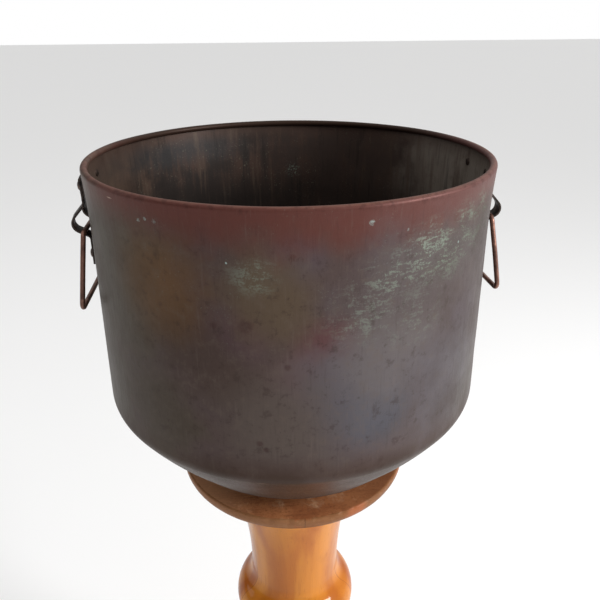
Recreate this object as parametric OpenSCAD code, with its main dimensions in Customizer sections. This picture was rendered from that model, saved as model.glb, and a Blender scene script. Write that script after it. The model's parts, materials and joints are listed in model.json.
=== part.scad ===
// Baptismal font: a loose copper basin with two swinging wire handles,
// standing on the top plate of a turned wooden pedestal.
// Millimetres, +Z up, origin on the floor under the centre of the font.
// The front faces -Y and the two handles hang on the -X and +X sides.

/* [Basin] */
// Outside radius of the straight part of the basin wall
basin_r = 190; // [180:1:200]
// How far the rim stands out beyond the straight wall
flare = 2.7; // [1.5:0.1:3.5]
// Depth below the rim at which the wall starts to flare out
flare_depth = 70; // [66:1:80]
// Height of the wall above the rounded lower edge
wall_h = 228.5; // [200:0.5:240]
// Thickness of the copper sheet
sheet_t = 1.5; // [1.2:0.1:2]
// Radius of the roll that covers the rim wire
lip_r = 3.25; // [3:0.05:3.6]
// Radius of the tight bend below the wall
knuckle_r = 18.5; // [14:0.5:24]
// Radius of the bend between the bottom and its flat middle
sole_r = 120; // [100:1:124]
// Slant length of the conical part of the bottom
cone_len = 30; // [26:0.1:36]

/* [Handles] */
// Radius of the handle wire
wire_r = 2.4; // [2:0.1:2.6]
// Half the width of the handle at its top bar
handle_top_w = 39.3; // [38.5:0.1:42]
// Half the width of the handle at its bottom bar
handle_bottom_w = 58.4; // [50:0.1:64]
// Height of the handle between its two bars
handle_h = 69; // [60:0.1:80]
// Distance of the top bar from the axis of the basin
handle_x = 193; // [192.8:0.1:193.1]
// Depth of the top bar below the rim
handle_drop = 62; // [61.5:0.1:62.2]
// Angle that the handle leans out from the wall as it hangs
handle_lean = 4.5; // [0:0.5:8]
// Radius of the bends in the wire
wire_bend_r = 6; // [5:0.5:6]

/* [Straps] */
// Thickness of the strap metal
strap_t = 2; // [1.6:0.1:2]
// Angle from the side of the basin to the middle of each strap
strap_azimuth = 7.2; // [7:0.1:7.4]
// Half the angle that a strap covers on the wall
strap_half_angle = 2.4; // [2:0.1:2.6]
// Radius of the rivet shanks
rivet_r = 2; // [1.5:0.1:2.2]
// Radius of the rivet heads
rivet_head_r = 4.4; // [3.5:0.1:5]

/* [Top plate] */
// Height of the top face of the plate above the floor
plate_top = 620; // [580:5:660]
// Radius of the plate
plate_r = 124.5; // [118:0.5:130]
// Thickness of the plate
plate_t = 17.5; // [16:0.5:20]

/* [Turned column] */
// Greatest radius of the bulb
bulb_r = 73; // [70:0.5:76]
// Depth of the middle of the bulb below the top of the plate
bulb_drop = 224.5; // [220:0.5:230]
// Radius of the bulb's round side
bulb_curve_r = 31; // [29:0.5:34]
// Least radius of the neck above the bulb
neck_r = 52.7; // [50:0.1:55]
// Radius of the hollow between the bulb and the neck
throat_r = 30; // [25:1:34]

/* [Base] */
// Radius of the plinth
plinth_r = 165; // [155:1:180]
// Thickness of the plinth
plinth_t = 30; // [26:1:34]
// Radius of the step that stands on the plinth
step_r = 106; // [100:1:115]
// Thickness of the step
step_t = 24; // [22:1:28]
// Height of the feet
foot_h = 20; // [18:1:26]
// Greatest radius of a foot
foot_r = 27; // [24:0.5:30]
// Distance of each foot from the axis
foot_ring_r = 125; // [115:1:130]

/* [Hidden] */

$fn = 96;
// How far the wire's runs and bends, and the bolt's head and shank, run into each other
wire_lap = 0.3;
lap = 0.05;

// Heights of the stacked pieces
plinth_z = foot_h;
step_z = plinth_z + plinth_t;
column_z = step_z + step_t;
column_top = plate_top - plate_t;
bulb_z = plate_top - bulb_drop;

// Flared top of the wall, one curve that meets both the wall and the rim roll.
// Heights of the basin's sections are measured from the rim.
flare_rise = flare_depth - lip_r;
flare_r = (flare_rise * flare_rise + flare * flare) / (2 * flare) - lip_r;
flare_c = [basin_r + flare_r, -flare_depth];
flare_end = asin(flare_rise / (flare_r + lip_r));
lip_c = [basin_r + flare - lip_r, -lip_r];

// Bottom of the basin, worked out from its bends. Angles are those of the
// outward normal below the horizontal.
knuckle_end = 34.4;
haunch_r = 340;
haunch_end = 42.25;
knuckle_c = [basin_r - knuckle_r, -wall_h];
haunch_c = knuckle_c + (knuckle_r - haunch_r) * normal(knuckle_end);
cone_top = haunch_c + haunch_r * normal(haunch_end);
cone_end = cone_top + cone_len * [-sin(haunch_end), -cos(haunch_end)];
sole_c = cone_end - sole_r * normal(haunch_end);
basin_depth = sole_r - sole_c[1];
rim_z = plate_top + basin_depth;

// Rim roll and the wire inside it
curl_open_from = 285;
rim_wire_gap = 0.05;
rim_wire_r = lip_r - sheet_t - rim_wire_gap;

// Strap outline, as distances from the basin's axis and below the rim
strap_gap = 0.1;
fold_gap = 0.1;
fold_reach = 8.5;
strap_bottom = 96;
loop_c = [197, -55.5];
loop_r = 8.8;
loop_from = 41;
loop_to = -60;
upper_rivet_drop = 21.5;
lower_rivet_drop = 87;
rivet_hole_gap = 0.1;
rivet_head_h = 2.2;
rivet_edge_h = 0.4;
rivet_tail_r = 3.8;
rivet_tail_h = 1;
rivet_tail_chamfer = 0.6;
rivet_gap_in = 0.12;
rivet_drill_l = 20;

// Corners of the closed handle wire, in the handle's own flat plane. A bend is
// a hair thinner than the runs, so that its ends lie inside them.
handle_corners = [
    [-handle_top_w, 0], [handle_top_w, 0],
    [handle_bottom_w, -handle_h], [-handle_bottom_w, -handle_h]
];
bend_thinning = 0.02;

// Wood screws and the lag bolt
screw_r = 2.2;
screw_head_r = 4.6;
screw_edge_h = 0.5;
screw_taper_h = 3.2;
screw_tip_r = 0.4;
screw_tip_h = 4;
screw_gap = 0.05;
screw_sink = 0.4;
screw_slot_w = 1.1;
screw_slot_h = 1.2;
plate_screw_ring_r = 38;
plate_screw_len = 45;
step_screw_ring_r = 84;
step_screw_len = 42;
foot_screw_len = 32;
foot_screw_head_h = 3;
foot_screw_round = 1.6;
foot_recess_r = 8;
foot_recess_h = 5;
bolt_r = 5;
bolt_len = 120;
bolt_head_af = 17;
bolt_head_h = 6.4;
washer_r = 15;
washer_t = 2.5;
bolt_recess_r = 18;
bolt_recess_h = 12;
tenon_r = 24;
top_tenon_h = 11;
foot_tenon_h = 20;
tenon_gap = 0.1;
bolt_seat_z = plinth_z + bolt_recess_h;
bolt_tip_z = bolt_seat_z - washer_t + bolt_len;
bolt_gap = 0.5;

// Rounded parts of the plate, plinth, step and feet
plate_nose_r = 13;
plate_lip_r = 2;
plinth_edge_r = 3;
plinth_round_r = 9;
step_round_r = 11;
foot_round_r = 8;
foot_neck_r = foot_r - 8;

// Column: the bulb and the hollows that blend it into the stem below and the neck above
bulb_c = [bulb_r - bulb_curve_r, bulb_z];
throat_x = neck_r + throat_r;
throat_turn = acos((throat_x - bulb_c[0]) / (bulb_curve_r + throat_r));
throat_z = bulb_z + (bulb_curve_r + throat_r) * sin(throat_turn);
stem_r = 45;
waist_r = 24;
waist_x = stem_r + waist_r;
waist_turn = acos((waist_x - bulb_c[0]) / (bulb_curve_r + waist_r));
waist_z = bulb_z - (bulb_curve_r + waist_r) * sin(waist_turn);
neck_curve_r = 500;
neck_end_z = column_top - 24;
neck_turn = asin((neck_end_z - throat_z) / neck_curve_r);
neck_c = [neck_r + neck_curve_r, throat_z];
cove_r = 20;
cove_c = neck_c - (neck_curve_r - cove_r) * [cos(neck_turn), -sin(neck_turn)];
collar_r = 88.5;

function normal(a) = [cos(a), -sin(a)];
function reversed(list) = [for (i = [len(list) - 1 : -1 : 0]) list[i]];
// Points along an arc; angles are counted anticlockwise from +X
function arc(c, r, a0, a1, n) = [
    for (i = [0 : n]) c + r * [cos(a0 + (a1 - a0) * i / n), sin(a0 + (a1 - a0) * i / n)]
];

// Side of the basin from the end of the rim roll down to the middle of the bottom
function basin_side(inset) = concat(
    arc(lip_c, lip_r - inset, curl_open_from, -flare_end, 24),
    arc(flare_c, flare_r + inset, 180 - flare_end, 180, 10),
    arc(knuckle_c, knuckle_r - inset, 0, -knuckle_end, 12),
    arc(haunch_c, haunch_r - inset, -knuckle_end, -haunch_end, 4),
    arc(sole_c, sole_r - inset, -haunch_end, -90, 16),
    [[0, inset - basin_depth]]
);

// ---------- Basin ----------

module basin_section() {
    polygon(concat(basin_side(0), reversed(basin_side(sheet_t))));
}

// Outside radius of the wall at a depth below the rim, and the angle it leans out there
function wall_r(drop) = drop > flare_depth ? basin_r
    : flare_c[0] - sqrt(flare_r * flare_r - pow(flare_depth - drop, 2));
function wall_lean(drop) = drop > flare_depth ? 0 : asin((flare_depth - drop) / flare_r);

// Direction of a strap as seen from above
function strap_turn(side, end) = (side > 0 ? 0 : 180) + side * end * strap_azimuth;

// Puts its children at one rivet's place, with their +Z straight out of the wall
module at_rivet(side, end, drop) {
    translate([0, 0, rim_z - drop]) rotate([0, 0, strap_turn(side, end)])
        translate([wall_r(drop), 0, 0]) rotate([0, 90 + wall_lean(drop), 0]) children();
}

module each_rivet(side) {
    for (end = [-1, 1])
        for (drop = [upper_rivet_drop, lower_rivet_drop])
            at_rivet(side, end, drop) children();
}

module rivet_drill() {
    translate([0, 0, -rivet_drill_l / 2])
        cylinder(r = rivet_r + rivet_hole_gap, h = rivet_drill_l, $fn = 32);
}

module basin_shell() {
    color("#5a4840")
        difference() {
            translate([0, 0, rim_z]) rotate_extrude($fn = 128) basin_section();
            for (side = [-1, 1])
                each_rivet(side) rivet_drill();
        }
}

module rim_wire() {
    color("#7a4a3a")
        translate([0, 0, rim_z])
            rotate_extrude($fn = 128) translate(lip_c) circle(r = rim_wire_r, $fn = 24);
}

// ---------- Straps and rivets ----------

// A point near the upper rivet: a distance up the wall from it, and out from the wall
function at_fold(up, out) = let(lean = wall_lean(upper_rivet_drop))
    [wall_r(upper_rivet_drop), -upper_rivet_drop]
        + up * [sin(lean), cos(lean)] + out * [cos(lean), -sin(lean)];

// Middle line of the strap metal. The top end is folded back under itself, so
// the line starts behind the fold and ends at the bottom edge.
function strap_line() = let(
    fold_r = (strap_t + fold_gap) / 2,
    fold_out = strap_gap + strap_t + fold_gap / 2,
    fold_turn = wall_lean(upper_rivet_drop),
    knee = at_fold(-fold_reach, fold_out + fold_r),
    lower_x = basin_r + strap_gap + strap_t / 2,
    entry = loop_c + loop_r * [cos(loop_from), sin(loop_from)],
    exit = loop_c + loop_r * [cos(loop_to), sin(loop_to)],
    entry_rise = (entry[0] - knee[0]) / tan(loop_from),
    exit_drop = (exit[0] - lower_x) * tan(90 + loop_to)
) concat(
    [at_fold(-fold_reach, fold_out - fold_r)],
    arc(at_fold(fold_reach - fold_r - strap_t / 2, fold_out), fold_r, 180 - fold_turn, -fold_turn, 10),
    [knee, [knee[0], entry[1] + entry_rise + 1.5]],
    [[knee[0] + 0.5, entry[1] + entry_rise - 0.6]],
    arc(loop_c, loop_r, loop_from, loop_to, 14),
    [[lower_x + 1.2, exit[1] - exit_drop + 0.7], [lower_x, exit[1] - exit_drop - 1.4]],
    [[lower_x, -strap_bottom]]
);

function unit(v) = v / norm(v);
// Sideways direction at point i of a line of points
function side_of(line, i) = let(
    a = line[max(i - 1, 0)],
    b = line[min(i + 1, len(line) - 1)],
    d = unit(b - a)
) [-d[1], d[0]];
function ribbon(line, t) = concat(
    [for (i = [0 : len(line) - 1]) line[i] + side_of(line, i) * t / 2],
    [for (i = [len(line) - 1 : -1 : 0]) line[i] - side_of(line, i) * t / 2]
);

module strap_section() {
    polygon(ribbon(strap_line(), strap_t));
}

module strap(side, end) {
    color("#3c2f2b")
        difference() {
            translate([0, 0, rim_z])
                rotate([0, 0, strap_turn(side, end) - strap_half_angle])
                    rotate_extrude(angle = 2 * strap_half_angle, $fn = 360) strap_section();
            for (drop = [upper_rivet_drop, lower_rivet_drop])
                at_rivet(side, end, drop) rivet_drill();
        }
}

module left_front_strap() { strap(-1, -1); }
module left_back_strap() { strap(-1, 1); }
module right_front_strap() { strap(1, -1); }
module right_back_strap() { strap(1, 1); }

// A rivet along +Z through a number of strap layers, with the outside of the wall at height 0
module rivet(layers) {
    inner = -sheet_t - rivet_gap_in;
    outer = strap_gap + layers * strap_t + (layers - 1) * fold_gap + rivet_gap_in;
    rotate_extrude($fn = 32)
        polygon(concat(
            [[0, inner - rivet_tail_h], [rivet_tail_r - rivet_tail_chamfer, inner - rivet_tail_h],
                [rivet_tail_r, inner - rivet_tail_h / 3], [rivet_tail_r, inner], [rivet_r, inner],
                [rivet_r, outer], [rivet_head_r, outer], [rivet_head_r, outer + rivet_edge_h]],
            [for (a = [15 : 15 : 90])
                [rivet_head_r * cos(a), outer + rivet_edge_h + (rivet_head_h - rivet_edge_h) * sin(a)]]
        ));
}

module strap_rivets(side) {
    color("#4a342c")
        for (end = [-1, 1]) {
            at_rivet(side, end, upper_rivet_drop) rivet(2);
            at_rivet(side, end, lower_rivet_drop) rivet(1);
        }
}

module left_strap_rivets() { strap_rivets(-1); }
module right_strap_rivets() { strap_rivets(1); }

// ---------- Handles ----------

function heading(a, b) = atan2(b[1] - a[1], b[0] - a[0]);

// One straight run and the bend at its far end
module wire_leg(a, b, c, trim_a) {
    turn_b = (heading(a, b) - heading(b, c) + 360) % 360;
    trim_b = wire_bend_r * tan(turn_b / 2);
    run = heading(a, b);
    translate(a) rotate([0, 0, run]) {
        translate([trim_a - wire_lap, 0, 0]) rotate([0, 90, 0])
            cylinder(r = wire_r, h = norm(b - a) - trim_a - trim_b + 2 * wire_lap, $fn = 32);
        translate([norm(b - a) - trim_b, -wire_bend_r, 0]) rotate([0, 0, 90 - turn_b])
            rotate_extrude(angle = turn_b, $fn = 64)
                translate([wire_bend_r, 0]) circle(r = wire_r - bend_thinning, $fn = 32);
    }
}

function corner_trim(i) = let(
    a = handle_corners[(i + 3) % 4],
    b = handle_corners[i],
    c = handle_corners[(i + 1) % 4]
) wire_bend_r * tan(((heading(a, b) - heading(b, c) + 360) % 360) / 2);

module handle(side) {
    color("#6e4436")
        translate([side * handle_x, 0, rim_z - handle_drop])
            rotate([0, -side * handle_lean, 0]) rotate([90, 0, 90])
                for (i = [0 : 3])
                    wire_leg(handle_corners[i], handle_corners[(i + 1) % 4],
                        handle_corners[(i + 2) % 4], corner_trim(i));
}

module left_handle() { handle(-1); }
module right_handle() { handle(1); }

// ---------- Top plate ----------

// A slotted countersunk wood screw pointing down, its head's face at height 0
module wood_screw(length) {
    difference() {
        rotate_extrude($fn = 32)
            polygon([[0, 0], [screw_head_r, 0], [screw_head_r, -screw_edge_h], [screw_r, -screw_taper_h],
                [screw_r, screw_tip_h - length], [screw_tip_r, -length], [0, -length]]);
        translate([-screw_head_r - 1, -screw_slot_w / 2, -screw_slot_h])
            cube([2 * screw_head_r + 2, screw_slot_w, screw_slot_h + 1]);
    }
}

// The room that a wood screw takes in the wood
module screw_room(length) {
    rotate_extrude($fn = 32)
        polygon([[0, 1], [screw_head_r + screw_gap, 1], [screw_head_r + screw_gap, -screw_edge_h],
            [screw_r + screw_gap, -screw_taper_h - screw_gap],
            [screw_r + screw_gap, -length - screw_edge_h], [0, -length - screw_edge_h]]);
}

module on_ring(r, count, first) {
    for (i = [0 : count - 1])
        rotate([0, 0, first + i * 360 / count]) translate([r, 0, 0]) children();
}

module plate_section() {
    polygon(concat(
        [[0, 0]],
        arc([plate_r - plate_nose_r, plate_nose_r], plate_nose_r, -90, 0, 12),
        arc([plate_r - plate_lip_r, plate_t - plate_lip_r], plate_lip_r, 0, 90, 4),
        [[0, plate_t]]
    ));
}

module plate_screw_places() {
    translate([0, 0, plate_top - screw_sink]) on_ring(plate_screw_ring_r, 4, 45) children();
}

module top_plate() {
    color("#8a4526")
        difference() {
            translate([0, 0, column_top]) rotate_extrude($fn = 128) plate_section();
            translate([0, 0, column_top - 1])
                cylinder(r = tenon_r + tenon_gap, h = top_tenon_h + 1 + tenon_gap, $fn = 64);
            plate_screw_places() screw_room(plate_screw_len);
        }
}

module plate_screws() {
    color("#b09a60") plate_screw_places() wood_screw(plate_screw_len);
}

// ---------- Turned column ----------

// A raised half-round ring on the column
function bead(r, z, half) = arc([r, z], half, -90, 90, 10);

function column_outline() = concat(
    // Base mouldings: flat band, large half-round, hollow
    [[0, column_z], [74, column_z], [74, column_z + 6], [70, column_z + 6]],
    bead(63, column_z + 19, 13),
    [[58, column_z + 32], [58, column_z + 36]],
    arc([70, column_z + 58], 24, 246, 180, 8),
    [[46, column_z + 62], [42, column_z + 64], [42, column_z + 66]],
    bead(44, column_z + 73, 7),
    [[41, column_z + 80], [41, column_z + 84]],
    // Long vase below the bulb
    arc([-153, column_z + 142], 198, -15, 17.6, 16),
    [[35, bulb_z - 92], [35, bulb_z - 90]],
    bead(38, bulb_z - 83, 7),
    [[39, bulb_z - 76], [39, bulb_z - 73], [stem_r, bulb_z - 69]],
    // Bulb between its two hollows, neck, and the cove and collar under the plate
    arc([waist_x, waist_z], waist_r, 180, 180 - waist_turn, 8),
    arc(bulb_c, bulb_curve_r, -waist_turn, throat_turn, 24),
    arc([throat_x, throat_z], throat_r, 180 + throat_turn, 180, 8),
    arc(neck_c, neck_curve_r, 180, 180 - neck_turn, 10),
    arc(cove_c, cove_r, 180 - neck_turn, 100, 8),
    [[collar_r, column_top - 8.5], [collar_r, column_top], [0, column_top]]
);

module turned_column() {
    color("#c47a32")
        difference() {
            union() {
                rotate_extrude($fn = 128) polygon(column_outline());
                translate([0, 0, column_top - 1]) cylinder(r = tenon_r, h = top_tenon_h + 1, $fn = 64);
                translate([0, 0, column_z - foot_tenon_h])
                    cylinder(r = tenon_r, h = foot_tenon_h + 1, $fn = 64);
            }
            plate_screw_places() screw_room(plate_screw_len);
            translate([0, 0, column_z - foot_tenon_h - 1])
                cylinder(r = bolt_r + screw_gap, h = bolt_tip_z - column_z + foot_tenon_h + 2, $fn = 32);
        }
}

// ---------- Base ----------

module plinth_section() {
    polygon(concat(
        [[0, 0], [plinth_r - plinth_edge_r, 0], [plinth_r, plinth_edge_r], [plinth_r, 12]],
        [[plinth_r - 2.5, 14.5], [plinth_r - 2.5, 16]],
        arc([plinth_r - plinth_round_r - 4, 16], plinth_round_r, 0, 75, 8),
        [[plinth_r - 13, plinth_t - 3], [plinth_r - 16, plinth_t], [0, plinth_t]]
    ));
}

module foot_places() {
    on_ring(foot_ring_r, 4, 45) children();
}

module step_screw_places() {
    translate([0, 0, plinth_z + screw_sink])
        on_ring(step_screw_ring_r, 4, 0) rotate([180, 0, 0]) children();
}

module base_plinth() {
    color("#b06a2c")
        difference() {
            translate([0, 0, plinth_z]) rotate_extrude($fn = 128) plinth_section();
            translate([0, 0, plinth_z - 1]) cylinder(r = bolt_recess_r, h = bolt_recess_h + 1, $fn = 48);
            translate([0, 0, plinth_z]) cylinder(r = bolt_r + bolt_gap, h = plinth_t + 1, $fn = 32);
            step_screw_places() screw_room(step_screw_len);
            foot_places() foot_screw_room();
        }
}

module step_section() {
    polygon(concat(
        [[0, 0], [step_r, 0], [step_r, 5]],
        arc([step_r - step_round_r - 1, 5], step_round_r, 0, 80, 8),
        [[step_r - 12, step_t - 5], [step_r - 14, step_t], [0, step_t]]
    ));
}

module base_step() {
    color("#b87030")
        difference() {
            translate([0, 0, step_z]) rotate_extrude($fn = 128) step_section();
            translate([0, 0, column_z - foot_tenon_h - tenon_gap])
                cylinder(r = tenon_r + tenon_gap, h = foot_tenon_h + 1, $fn = 64);
            translate([0, 0, step_z - 1]) cylinder(r = bolt_r + bolt_gap, h = step_t, $fn = 32);
            step_screw_places() screw_room(step_screw_len);
        }
}

module step_screws() {
    color("#b09a60") step_screw_places() wood_screw(step_screw_len);
}

module column_washer() {
    color("#9a9a98")
        translate([0, 0, bolt_seat_z - washer_t])
            difference() {
                cylinder(r = washer_r, h = washer_t, $fn = 48);
                translate([0, 0, -1]) cylinder(r = bolt_r + bolt_gap, h = washer_t + 2, $fn = 32);
            }
}

module column_bolt() {
    color("#8c8c8a")
        translate([0, 0, bolt_seat_z - washer_t]) {
            translate([0, 0, -bolt_head_h])
                cylinder(d = bolt_head_af / cos(30), h = bolt_head_h, $fn = 6);
            translate([0, 0, -lap])
                rotate_extrude($fn = 32)
                    polygon([[0, 0], [bolt_r, 0], [bolt_r, bolt_len - 8], [1, bolt_len], [0, bolt_len]]);
        }
}

// A turned bun foot on the floor, centred on the origin
module foot_section() {
    polygon(concat(
        [[0, 0], [foot_neck_r - 1, 0]],
        arc([foot_neck_r - 1, foot_round_r], foot_round_r, -80, 0, 8),
        arc([foot_neck_r - 1, foot_round_r], foot_round_r, 10, 70, 6),
        [[foot_neck_r, foot_h - 3], [foot_neck_r, foot_h], [0, foot_h]]
    ));
}

// A pan-head screw up through a foot, its head inside the recess
module foot_screw() {
    translate([0, 0, foot_recess_h - foot_screw_head_h])
        difference() {
            rotate_extrude($fn = 32)
                polygon(concat(
                    [[0, 0]],
                    arc([screw_head_r, foot_screw_round], foot_screw_round, -90, 0, 4),
                    [[screw_head_r + foot_screw_round, foot_screw_head_h], [screw_r, foot_screw_head_h],
                        [screw_r, foot_screw_len - 1]],
                    [[screw_tip_r, foot_screw_len + 3], [0, foot_screw_len + 3]]
                ));
            translate([-10, -screw_slot_w / 2, -1]) cube([20, screw_slot_w, 2]);
        }
}

module foot_screw_room() {
    translate([0, 0, -1]) cylinder(r = foot_recess_r, h = foot_recess_h + 1, $fn = 32);
    cylinder(r = screw_r + screw_gap, h = foot_recess_h + foot_screw_len + 1, $fn = 32);
}

module foot(index) {
    color("#a86428")
        rotate([0, 0, 45 + 90 * index]) translate([foot_ring_r, 0, 0])
            difference() {
                rotate_extrude($fn = 64) foot_section();
                foot_screw_room();
            }
}

module foot_1() { foot(0); }
module foot_2() { foot(1); }
module foot_3() { foot(2); }
module foot_4() { foot(3); }

module foot_screws() {
    color("#b09a60") foot_places() foot_screw();
}

foot_1();
foot_2();
foot_3();
foot_4();
foot_screws();
base_plinth();
base_step();
step_screws();
column_bolt();
column_washer();
turned_column();
top_plate();
plate_screws();
basin_shell();
rim_wire();
left_front_strap();
left_back_strap();
right_front_strap();
right_back_strap();
left_strap_rivets();
right_strap_rivets();
left_handle();
right_handle();
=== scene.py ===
"""Looks of the baptismal font: a patinated copper basin on a turned, varnished wooden pedestal.

The file is laid out as an add-on and is run as a script. Every length is in metres, and every
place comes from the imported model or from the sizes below.
"""

import json
import math
import random
from functools import reduce

import bpy
from bpy.props import FloatProperty, FloatVectorProperty, IntProperty, PointerProperty
from mathutils import Matrix, Vector
from mathutils import noise as field


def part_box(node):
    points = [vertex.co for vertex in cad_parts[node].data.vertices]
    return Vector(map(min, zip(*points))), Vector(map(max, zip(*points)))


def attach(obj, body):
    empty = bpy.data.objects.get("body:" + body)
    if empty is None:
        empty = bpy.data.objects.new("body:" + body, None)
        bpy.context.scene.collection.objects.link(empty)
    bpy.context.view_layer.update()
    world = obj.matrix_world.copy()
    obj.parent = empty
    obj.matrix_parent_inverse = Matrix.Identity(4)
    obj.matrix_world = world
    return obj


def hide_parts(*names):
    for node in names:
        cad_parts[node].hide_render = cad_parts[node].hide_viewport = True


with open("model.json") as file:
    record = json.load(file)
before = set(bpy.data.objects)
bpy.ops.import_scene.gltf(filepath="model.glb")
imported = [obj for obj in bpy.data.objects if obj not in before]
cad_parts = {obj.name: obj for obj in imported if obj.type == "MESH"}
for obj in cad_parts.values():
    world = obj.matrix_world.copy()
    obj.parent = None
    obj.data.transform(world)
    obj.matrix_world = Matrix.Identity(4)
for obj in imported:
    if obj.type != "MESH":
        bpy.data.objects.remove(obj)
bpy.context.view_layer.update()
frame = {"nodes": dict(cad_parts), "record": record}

bl_info = {
    "name": "Baptismal Font",
    "version": (1, 0, 0),
    "blender": (4, 5, 0),
    "location": "3D View > Sidebar > Font",
    "description": "Builds the detailed pieces and finishes of a copper and wood baptismal font",
    "category": "Object",
}

MM = 0.001
TAU = 2 * math.pi
ON_AXIS = 1e-7

# ---------------------------------------------------------------- Places from the model

BASIN_LO, BASIN_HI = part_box("basin_shell")
PLATE_LO, PLATE_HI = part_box("top_plate")
PLINTH_LO, PLINTH_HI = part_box("base_plinth")
STEP_LO, STEP_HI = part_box("base_step")
FOOT_LO, FOOT_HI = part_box("foot_1")
JOINTS = {joint["name"]: joint for joint in frame["record"]["behaviour"]["joints"]}
SWING_POS = JOINTS["right_handle_swing"]["pos_m"]
RIM_Z = BASIN_HI[2]
PLATE_Z = PLATE_HI[2]


# ---------------------------------------------------------------- Sizes and colours to change

class FontBasinSettings(bpy.types.PropertyGroup):
    radius: FloatProperty(
        name="Basin radius", description="Outside radius of the straight wall",
        default=round((BASIN_HI[0] - BASIN_LO[0]) / 2, 4) - 2.7 * MM, unit="LENGTH")
    flare: FloatProperty(
        name="Flare", description="How far the rim stands out beyond the straight wall",
        default=2.7 * MM, unit="LENGTH")
    flare_depth: FloatProperty(
        name="Flare depth", description="Depth below the rim at which the wall starts to flare",
        default=70 * MM, unit="LENGTH")
    wall_height: FloatProperty(
        name="Wall height", description="Height of the straight wall below the rim",
        default=228.5 * MM, unit="LENGTH")
    sheet: FloatProperty(
        name="Sheet", description="Thickness of the copper sheet", default=1.5 * MM, unit="LENGTH")
    lip: FloatProperty(
        name="Rim roll", description="Radius of the rolled rim", default=3.25 * MM, unit="LENGTH")
    dent: FloatProperty(
        name="Dents", description="Depth of the shallow dents in the wall",
        default=0.5 * MM, unit="LENGTH")
    tarnish: FloatVectorProperty(
        name="Tarnish", description="Film that darkens the whole outside of the basin",
        default=(0.94, 0.92, 0.92), subtype="COLOR")
    brown: FloatVectorProperty(
        name="Brown patina", description="Main colour of the old copper",
        default=(0.080, 0.053, 0.044), subtype="COLOR")
    red: FloatVectorProperty(
        name="Red band", description="Colour of the copper below the rim",
        default=(0.110, 0.036, 0.028), subtype="COLOR")
    slate: FloatVectorProperty(
        name="Slate patina", description="Cool grey-purple of the sunlit side",
        default=(0.118, 0.098, 0.102), subtype="COLOR")
    olive: FloatVectorProperty(
        name="Olive patina", description="Green-grey of the shaded side",
        default=(0.100, 0.088, 0.062), subtype="COLOR")
    verdigris: FloatVectorProperty(
        name="Verdigris", description="Pale green bloom on the copper",
        default=(0.215, 0.262, 0.212), subtype="COLOR")
    inside: FloatVectorProperty(
        name="Inside", description="Colour of the tarnished inside",
        default=(0.040, 0.030, 0.026), subtype="COLOR")


class FontMetalworkSettings(bpy.types.PropertyGroup):
    wire: FloatProperty(
        name="Wire radius", description="Radius of the handle wire", default=2.4 * MM, unit="LENGTH")
    lean: FloatProperty(
        name="Handle lean", description="Angle that the handles lean out as they hang",
        default=math.radians(4.5), subtype="ANGLE")
    bend: FloatProperty(
        name="Wire bends", description="Radius of the bends in the wire", default=6 * MM, unit="LENGTH")
    strap: FloatProperty(
        name="Strap thickness", description="Thickness of the strap metal", default=2 * MM, unit="LENGTH")
    strap_azimuth: FloatProperty(
        name="Strap place", description="Angle from the side of the basin to each strap",
        default=math.radians(7.2), subtype="ANGLE")
    strap_half_angle: FloatProperty(
        name="Strap width", description="Half the angle that a strap covers on the wall",
        default=math.radians(2.4), subtype="ANGLE")
    handle_colour: FloatVectorProperty(
        name="Handles", description="Colour of the handle wire", default=(0.250, 0.125, 0.092),
        subtype="COLOR")
    strap_colour: FloatVectorProperty(
        name="Straps", description="Colour of the blackened straps", default=(0.050, 0.036, 0.030),
        subtype="COLOR")


class FontWoodSettings(bpy.types.PropertyGroup):
    varnish: FloatVectorProperty(
        name="Varnish", description="Orange tint of the varnish over the wood",
        default=(0.73, 0.52, 0.18), subtype="COLOR")
    light: FloatVectorProperty(
        name="Light grain", description="Colour of the pale rings", default=(0.790, 0.400, 0.120),
        subtype="COLOR")
    dark: FloatVectorProperty(
        name="Dark grain", description="Colour of the dark rings", default=(0.540, 0.195, 0.038),
        subtype="COLOR")
    # The end grain colour is also painted shade on the bulb below the neck
    end: FloatVectorProperty(
        name="End grain", description="Redder colour of faces cut across the grain",
        default=(0.500, 0.170, 0.036), subtype="COLOR")
    plate_top: FloatVectorProperty(
        name="Plate top", description="Stained top face of the plate", default=(0.400, 0.155, 0.062),
        subtype="COLOR")
    # The edge's colour on the window's side, darkened there as painted shade
    plate_edge_shaded: FloatVectorProperty(
        name="Plate edge", description="Worn edge of the plate", default=(0.185, 0.074, 0.026),
        subtype="COLOR")
    board: FloatProperty(
        name="Board", description="Thickness of the boards that the column is glued from",
        default=46 * MM, unit="LENGTH")
    turns: IntProperty(
        name="Steps around", description="Steps around each turned piece", default=192, min=48)


class FontStageSettings(bpy.types.PropertyGroup):
    floor: FloatVectorProperty(
        name="Floor", description="Colour of the floor", default=(0.93, 0.93, 0.93), subtype="COLOR")
    sky: FloatProperty(
        name="Sky", description="Strength of the soft light from the bright side", default=0.62, min=0.0)
    ceiling: FloatProperty(
        name="Ceiling", description="Strength of the soft light from above", default=1.35, min=0.0)
    window: FloatProperty(
        name="Window", description="Power of the large window light", default=52.0, min=0.0,
        unit="POWER")


# ---------------------------------------------------------------- Mesh helpers

def arc(centre, radius, start, end, steps):
    """Points on an arc; angles in degrees, anticlockwise from the first axis."""
    points = []
    for i in range(steps + 1):
        a = math.radians(start + (end - start) * i / steps)
        points.append((centre[0] + radius * math.cos(a), centre[1] + radius * math.sin(a)))
    return points


def scaled(points, factor=MM):
    return [(x * factor, y * factor) for x, y in points]


def divided(points, longest):
    """The same outline with no stretch longer than the given length."""
    fine = [points[0]]
    for a, b in zip(points, points[1:]):
        count = max(1, math.ceil(math.dist(a, b) / longest))
        for i in range(1, count + 1):
            fine.append((a[0] + (b[0] - a[0]) * i / count, a[1] + (b[1] - a[1]) * i / count))
    return fine


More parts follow.
